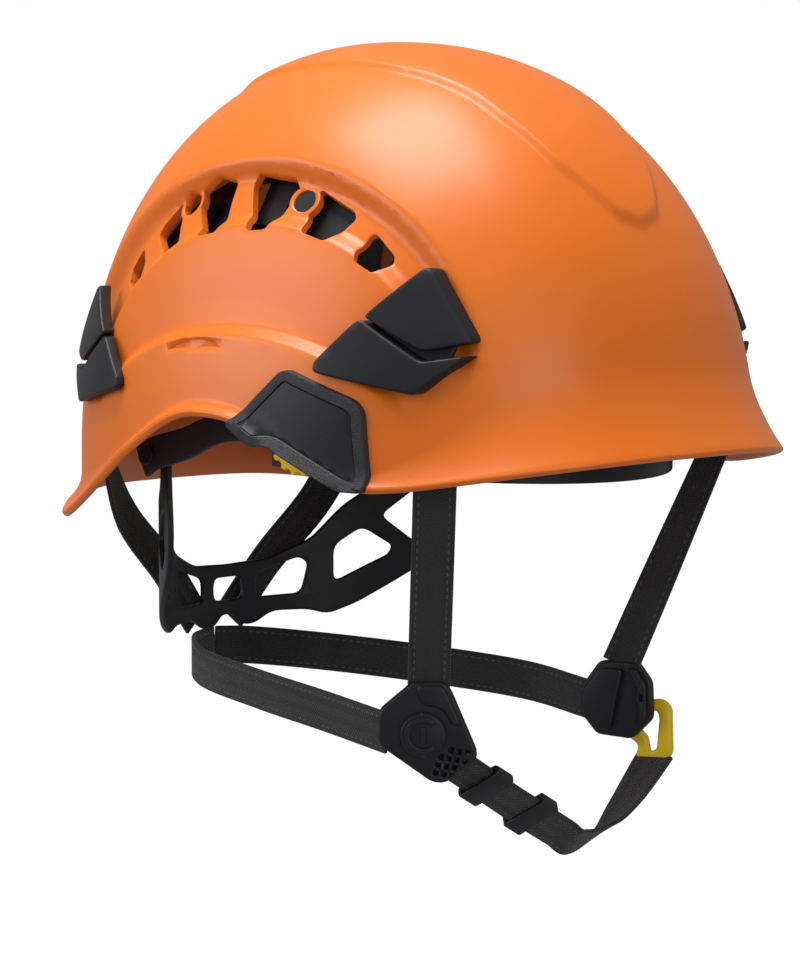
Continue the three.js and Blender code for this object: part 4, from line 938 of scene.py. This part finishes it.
FRONTS = [("right", -1, RIGHT_MIDDLE, RIGHT_FACE, (0.6, -0.8, 0), 18.8),
          ("left", 1, LEFT_MIDDLE, LEFT_FACE, (-0.2, -0.98, 0), 16.5)]
for label, side, middle, face, top_across, top_length in FRONTS:
    top = anchor_place(*FRONT_ANCHOR)
    begin = Vector((side * abs(top.x), top.y, top.z - ANCHOR_TALL / 2 + TUCK))
    finish_at = on_face(middle, face, 1, top_length - TUCK)
    points = [begin, begin.lerp(finish_at, 0.33), begin.lerp(finish_at, 0.66), finish_at]
    across = [Vector(top_across).lerp(face[0], k / 3) for k in range(4)]
    harness(f"front_webbing_{label}", points, across, f"front_strap_{label}")

top = anchor_place(*REAR_ANCHOR)
for label, side in (("right", 1), ("left", -1)):
    points = [(top.x * side, top.y, top.z - ANCHOR_TALL / 2 + TUCK),
              (-52 * side, 105, -26), (-27 * side, 109, -50), (-9 * side, 111.6, -71)]
    across = [(0.75 * side, 0.6, 0), (0.85 * side, 0.3, 0.5), (0.8 * side, 0.1, 0.6),
              (0.8 * side, 0.1, 0.6)]
    harness(f"upper_rear_webbing_{label}", points, across, f"upper_rear_strap_{label}")

for label, side, middle, face, reach in (("right", -1, RIGHT_MIDDLE, RIGHT_FACE, 16.7),
                                         ("left", 1, LEFT_MIDDLE, LEFT_FACE, 15)):
    points = [(side * 0.2, 111, -81.5), (side * 14, 107, -82.5), (side * 31, 86, -84.5),
              (side * 46, 40, -87), (side * 55, -5, -90),
              on_face(middle, face, TUCK - reach, 0)]
    harness(f"lower_rear_webbing_{label}", points, [(0, 0, 1)] * 6, f"lower_rear_strap_{label}",
            steps=110)

# ------------------------------------------------------------------ strap dividers and dial
# Where the front, rear and chin straps meet below each ear. The right one is a deep moulding
# with a dial that picks the strength of the chin release; the left one is a folding plate.
DIVIDER_RIGHT = [(-16.7, 8.2), (-7, 16.3), (-4.5, 18.8), (6.7, 18.8), (9.3, 14.8), (18.2, -6.3),
                 (17.8, -8.9), (7, -17.4), (2.2, -17.1), (-16.7, -3.7)]
DIVIDER_LEFT = [(-15, 4), (-7, 15), (8, 15), (13.5, 8), (14, -6), (6, -14), (-8, -13), (-15, -5)]


def set_on(bm, middle, face):
    """Stands a plate, modelled flat, on a divider's plane."""
    basis = Matrix(face).transposed().to_4x4()
    bmesh.ops.transform(bm, matrix=Matrix.Translation(middle) @ basis, verts=bm.verts)
    bmesh.ops.recalc_face_normals(bm, faces=bm.faces)
    return bm


GRIP_RADIUS, GRIP_PITCH = 0.95, 2.75
grips = []
for row_at in range(4):
    for column in range(4 if row_at else 3):
        centre = (14.6 - GRIP_PITCH * column - 0.9 * row_at,
                  -6.6 - GRIP_PITCH * row_at + 0.38 * column)
        ring = [(centre[0] + GRIP_RADIUS * math.cos(math.pi * k / 4),
                 centre[1] + GRIP_RADIUS * math.sin(math.pi * k / 4)) for k in range(8)]
        if float(outline_distance(anticlockwise(DIVIDER_RIGHT), np.array([centre[0]]),
                                  np.array([centre[1]]))[0]) < -GRIP_RADIUS - 0.9:
            grips.append(ring)
base = raised(flat_plate(DIVIDER_RIGHT, 4.2, 0.8, corner=2.5), -1.4)
cover = raised(flat_plate(DIVIDER_RIGHT, 2.6, 1.1, corner=2.5, holes=grips, hole_corner=0.6,
                          profile=3), 2.0)
SHOULDER = [(-3.5, 17.6), (6, 17.6), (8, 14), (12.6, 3.2), (9.5, 3.4), (5.5, 9.6), (-1.5, 10.6)]
shoulder = raised(flat_plate(SHOULDER, 2.4, 1.0, corner=2.5, profile=3), 3.4)
body_bm = set_on(joined(base, cover, shoulder), RIGHT_MIDDLE, RIGHT_FACE)
piece("divider_body_right", body_bm, "helmet", BLACK, "strap_divider_right")

plate = raised(flat_plate(DIVIDER_LEFT, 4.4, 0.9, corner=2), -1.0)
FLAP = [(-13, 3), (-6, 12.5), (3, 12.5), (-2, -11), (-8, -11), (-13, -5)]
flap = raised(flat_plate(FLAP, 2.2, 0.7, corner=2), 2.3)
BAR = [(5, 13), (8, 13), (12.3, 7), (12.6, -5.5), (9.6, -8.5), (9.2, 5)]
bar = raised(flat_plate(BAR, 2.2, 0.9, corner=1.6, holes=[[(10, 1), (11.3, 1), (11.3, 3), (10, 3)]],
                        hole_corner=0.5), 2.3)
piece("divider_body_left", set_on(joined(plate, flap, bar), LEFT_MIDDLE, LEFT_FACE), "helmet",
      BLACK, "strap_divider_left")

DIAL_RADIUS, DIAL_THICK = 8, 2.4
disc = flat_plate([(DIAL_RADIUS * math.cos(k * math.pi / 24), DIAL_RADIUS * math.sin(k * math.pi / 24))
                   for k in range(48)], DIAL_THICK - 0.7, 0.5, corner=0.1)
ARC = [(6.6 * math.cos(math.radians(a)), 6.6 * math.sin(math.radians(a))) for a in range(45, 316, 15)]
ARC += [(4.6 * math.cos(math.radians(a)), 4.6 * math.sin(math.radians(a)))
        for a in range(315, 44, -15)]
ridge = raised(flat_plate(ARC, 1.0, 0.35, corner=0.3), 0.9)
grip_bar = raised(flat_plate([(-0.9, -3), (0.9, -3), (0.9, 3), (-0.9, 3)], 1.0, 0.3, corner=0.6), 0.9)
dial = raised(joined(raised(disc, -0.3), ridge, grip_bar), DIVIDER_THICK / 2 + 0.3 + DIAL_THICK / 2)
bmesh.ops.translate(dial, vec=(-1, 0, 0), verts=dial.verts)
piece("release_dial", set_on(dial, RIGHT_MIDDLE, RIGHT_FACE), "dial", BLACK,
      "selector_dial")

# ------------------------------------------------------------------ chin strap, keepers and hook
# The chin strap runs from the right divider under the chin, through two keepers, and up to a
# yellow hook clip on the left divider's lower bar. The hook swings off the bar to let it go.
chin_start = on_face(RIGHT_MIDDLE, RIGHT_FACE, 13.2, -13.6)
chin_root = on_face(RIGHT_MIDDLE, RIGHT_FACE, 9.5, -10.5)
chin_low = Vector((2, -67, -134))
chin_run = (chin_low - chin_start).normalized()
CHIN_ACROSS = Vector((-0.12, -0.72, 0.69))
hook_middle = on_face(LEFT_MIDDLE, LEFT_FACE, 8, -12, -6)
hook_foot = on_face(hook_middle, LEFT_FACE, 5, -8.5)
points = [chin_root, chin_start.lerp(chin_low, 0.5), chin_low, chin_low + chin_run * 9,
          (26, -68, -136), (41, -66, -128), hook_foot]
across = [CHIN_ACROSS.lerp(LEFT_FACE[0], max(k - 3, 0) / 3) for k in range(7)]
harness("chin_webbing", points, across, "chin_strap", steps=130)

keeper_across = (CHIN_ACROSS - chin_run * CHIN_ACROSS.dot(chin_run)).normalized()
keeper_out = chin_run.cross(keeper_across)
KEEPER_LONG, KEEPER_WIDE, KEEPER_THICK = 9, 19, 5
OPENING = [(-7.8, -1.05), (7.8, -1.05), (7.8, 1.05), (-7.8, 1.05)]
for label, distance, corner in (("upper", 8, 2.2), ("lower", 33, 0.9)):
    w, t = KEEPER_WIDE / 2, KEEPER_THICK / 2
    loop_bm = flat_plate([(-w, -t), (w, -t), (w, t), (-w, t)], KEEPER_LONG, 0.7, corner=corner,
                         holes=[OPENING], hole_corner=0.3)
    basis = Matrix((keeper_across, keeper_out, keeper_across.cross(keeper_out))).transposed()
    along_keeper = keeper_across.cross(keeper_out)
    middle = chin_start + chin_run * distance + along_keeper * KEEPER_LONG / 2
    bmesh.ops.transform(loop_bm, matrix=Matrix.Translation(middle) @ basis.to_4x4(),
                        verts=loop_bm.verts)
    piece(f"keeper_loop_{label}", loop_bm, f"keeper_{label}", BLACK,
          f"strap_keeper_{label}")

HOOK = [(-12, 7), (-9, 11), (8, 13), (11.5, 10), (12, -8), (5, -14), (-3, -10), (-1, -5), (-10, 1)]
HOOK_WINDOW = [(-4, 4.5), (-3, 7), (6, 8.5), (7, 6), (6, -6), (3, -7.5), (2, -2)]
hook_bm = flat_plate(HOOK, 4, 1.2, corner=2.4, holes=[HOOK_WINDOW], hole_corner=1.2, profile=3)
piece("yellow_hook", set_on(hook_bm, hook_middle, LEFT_FACE), "hook", YELLOW,
      "hook_clip")
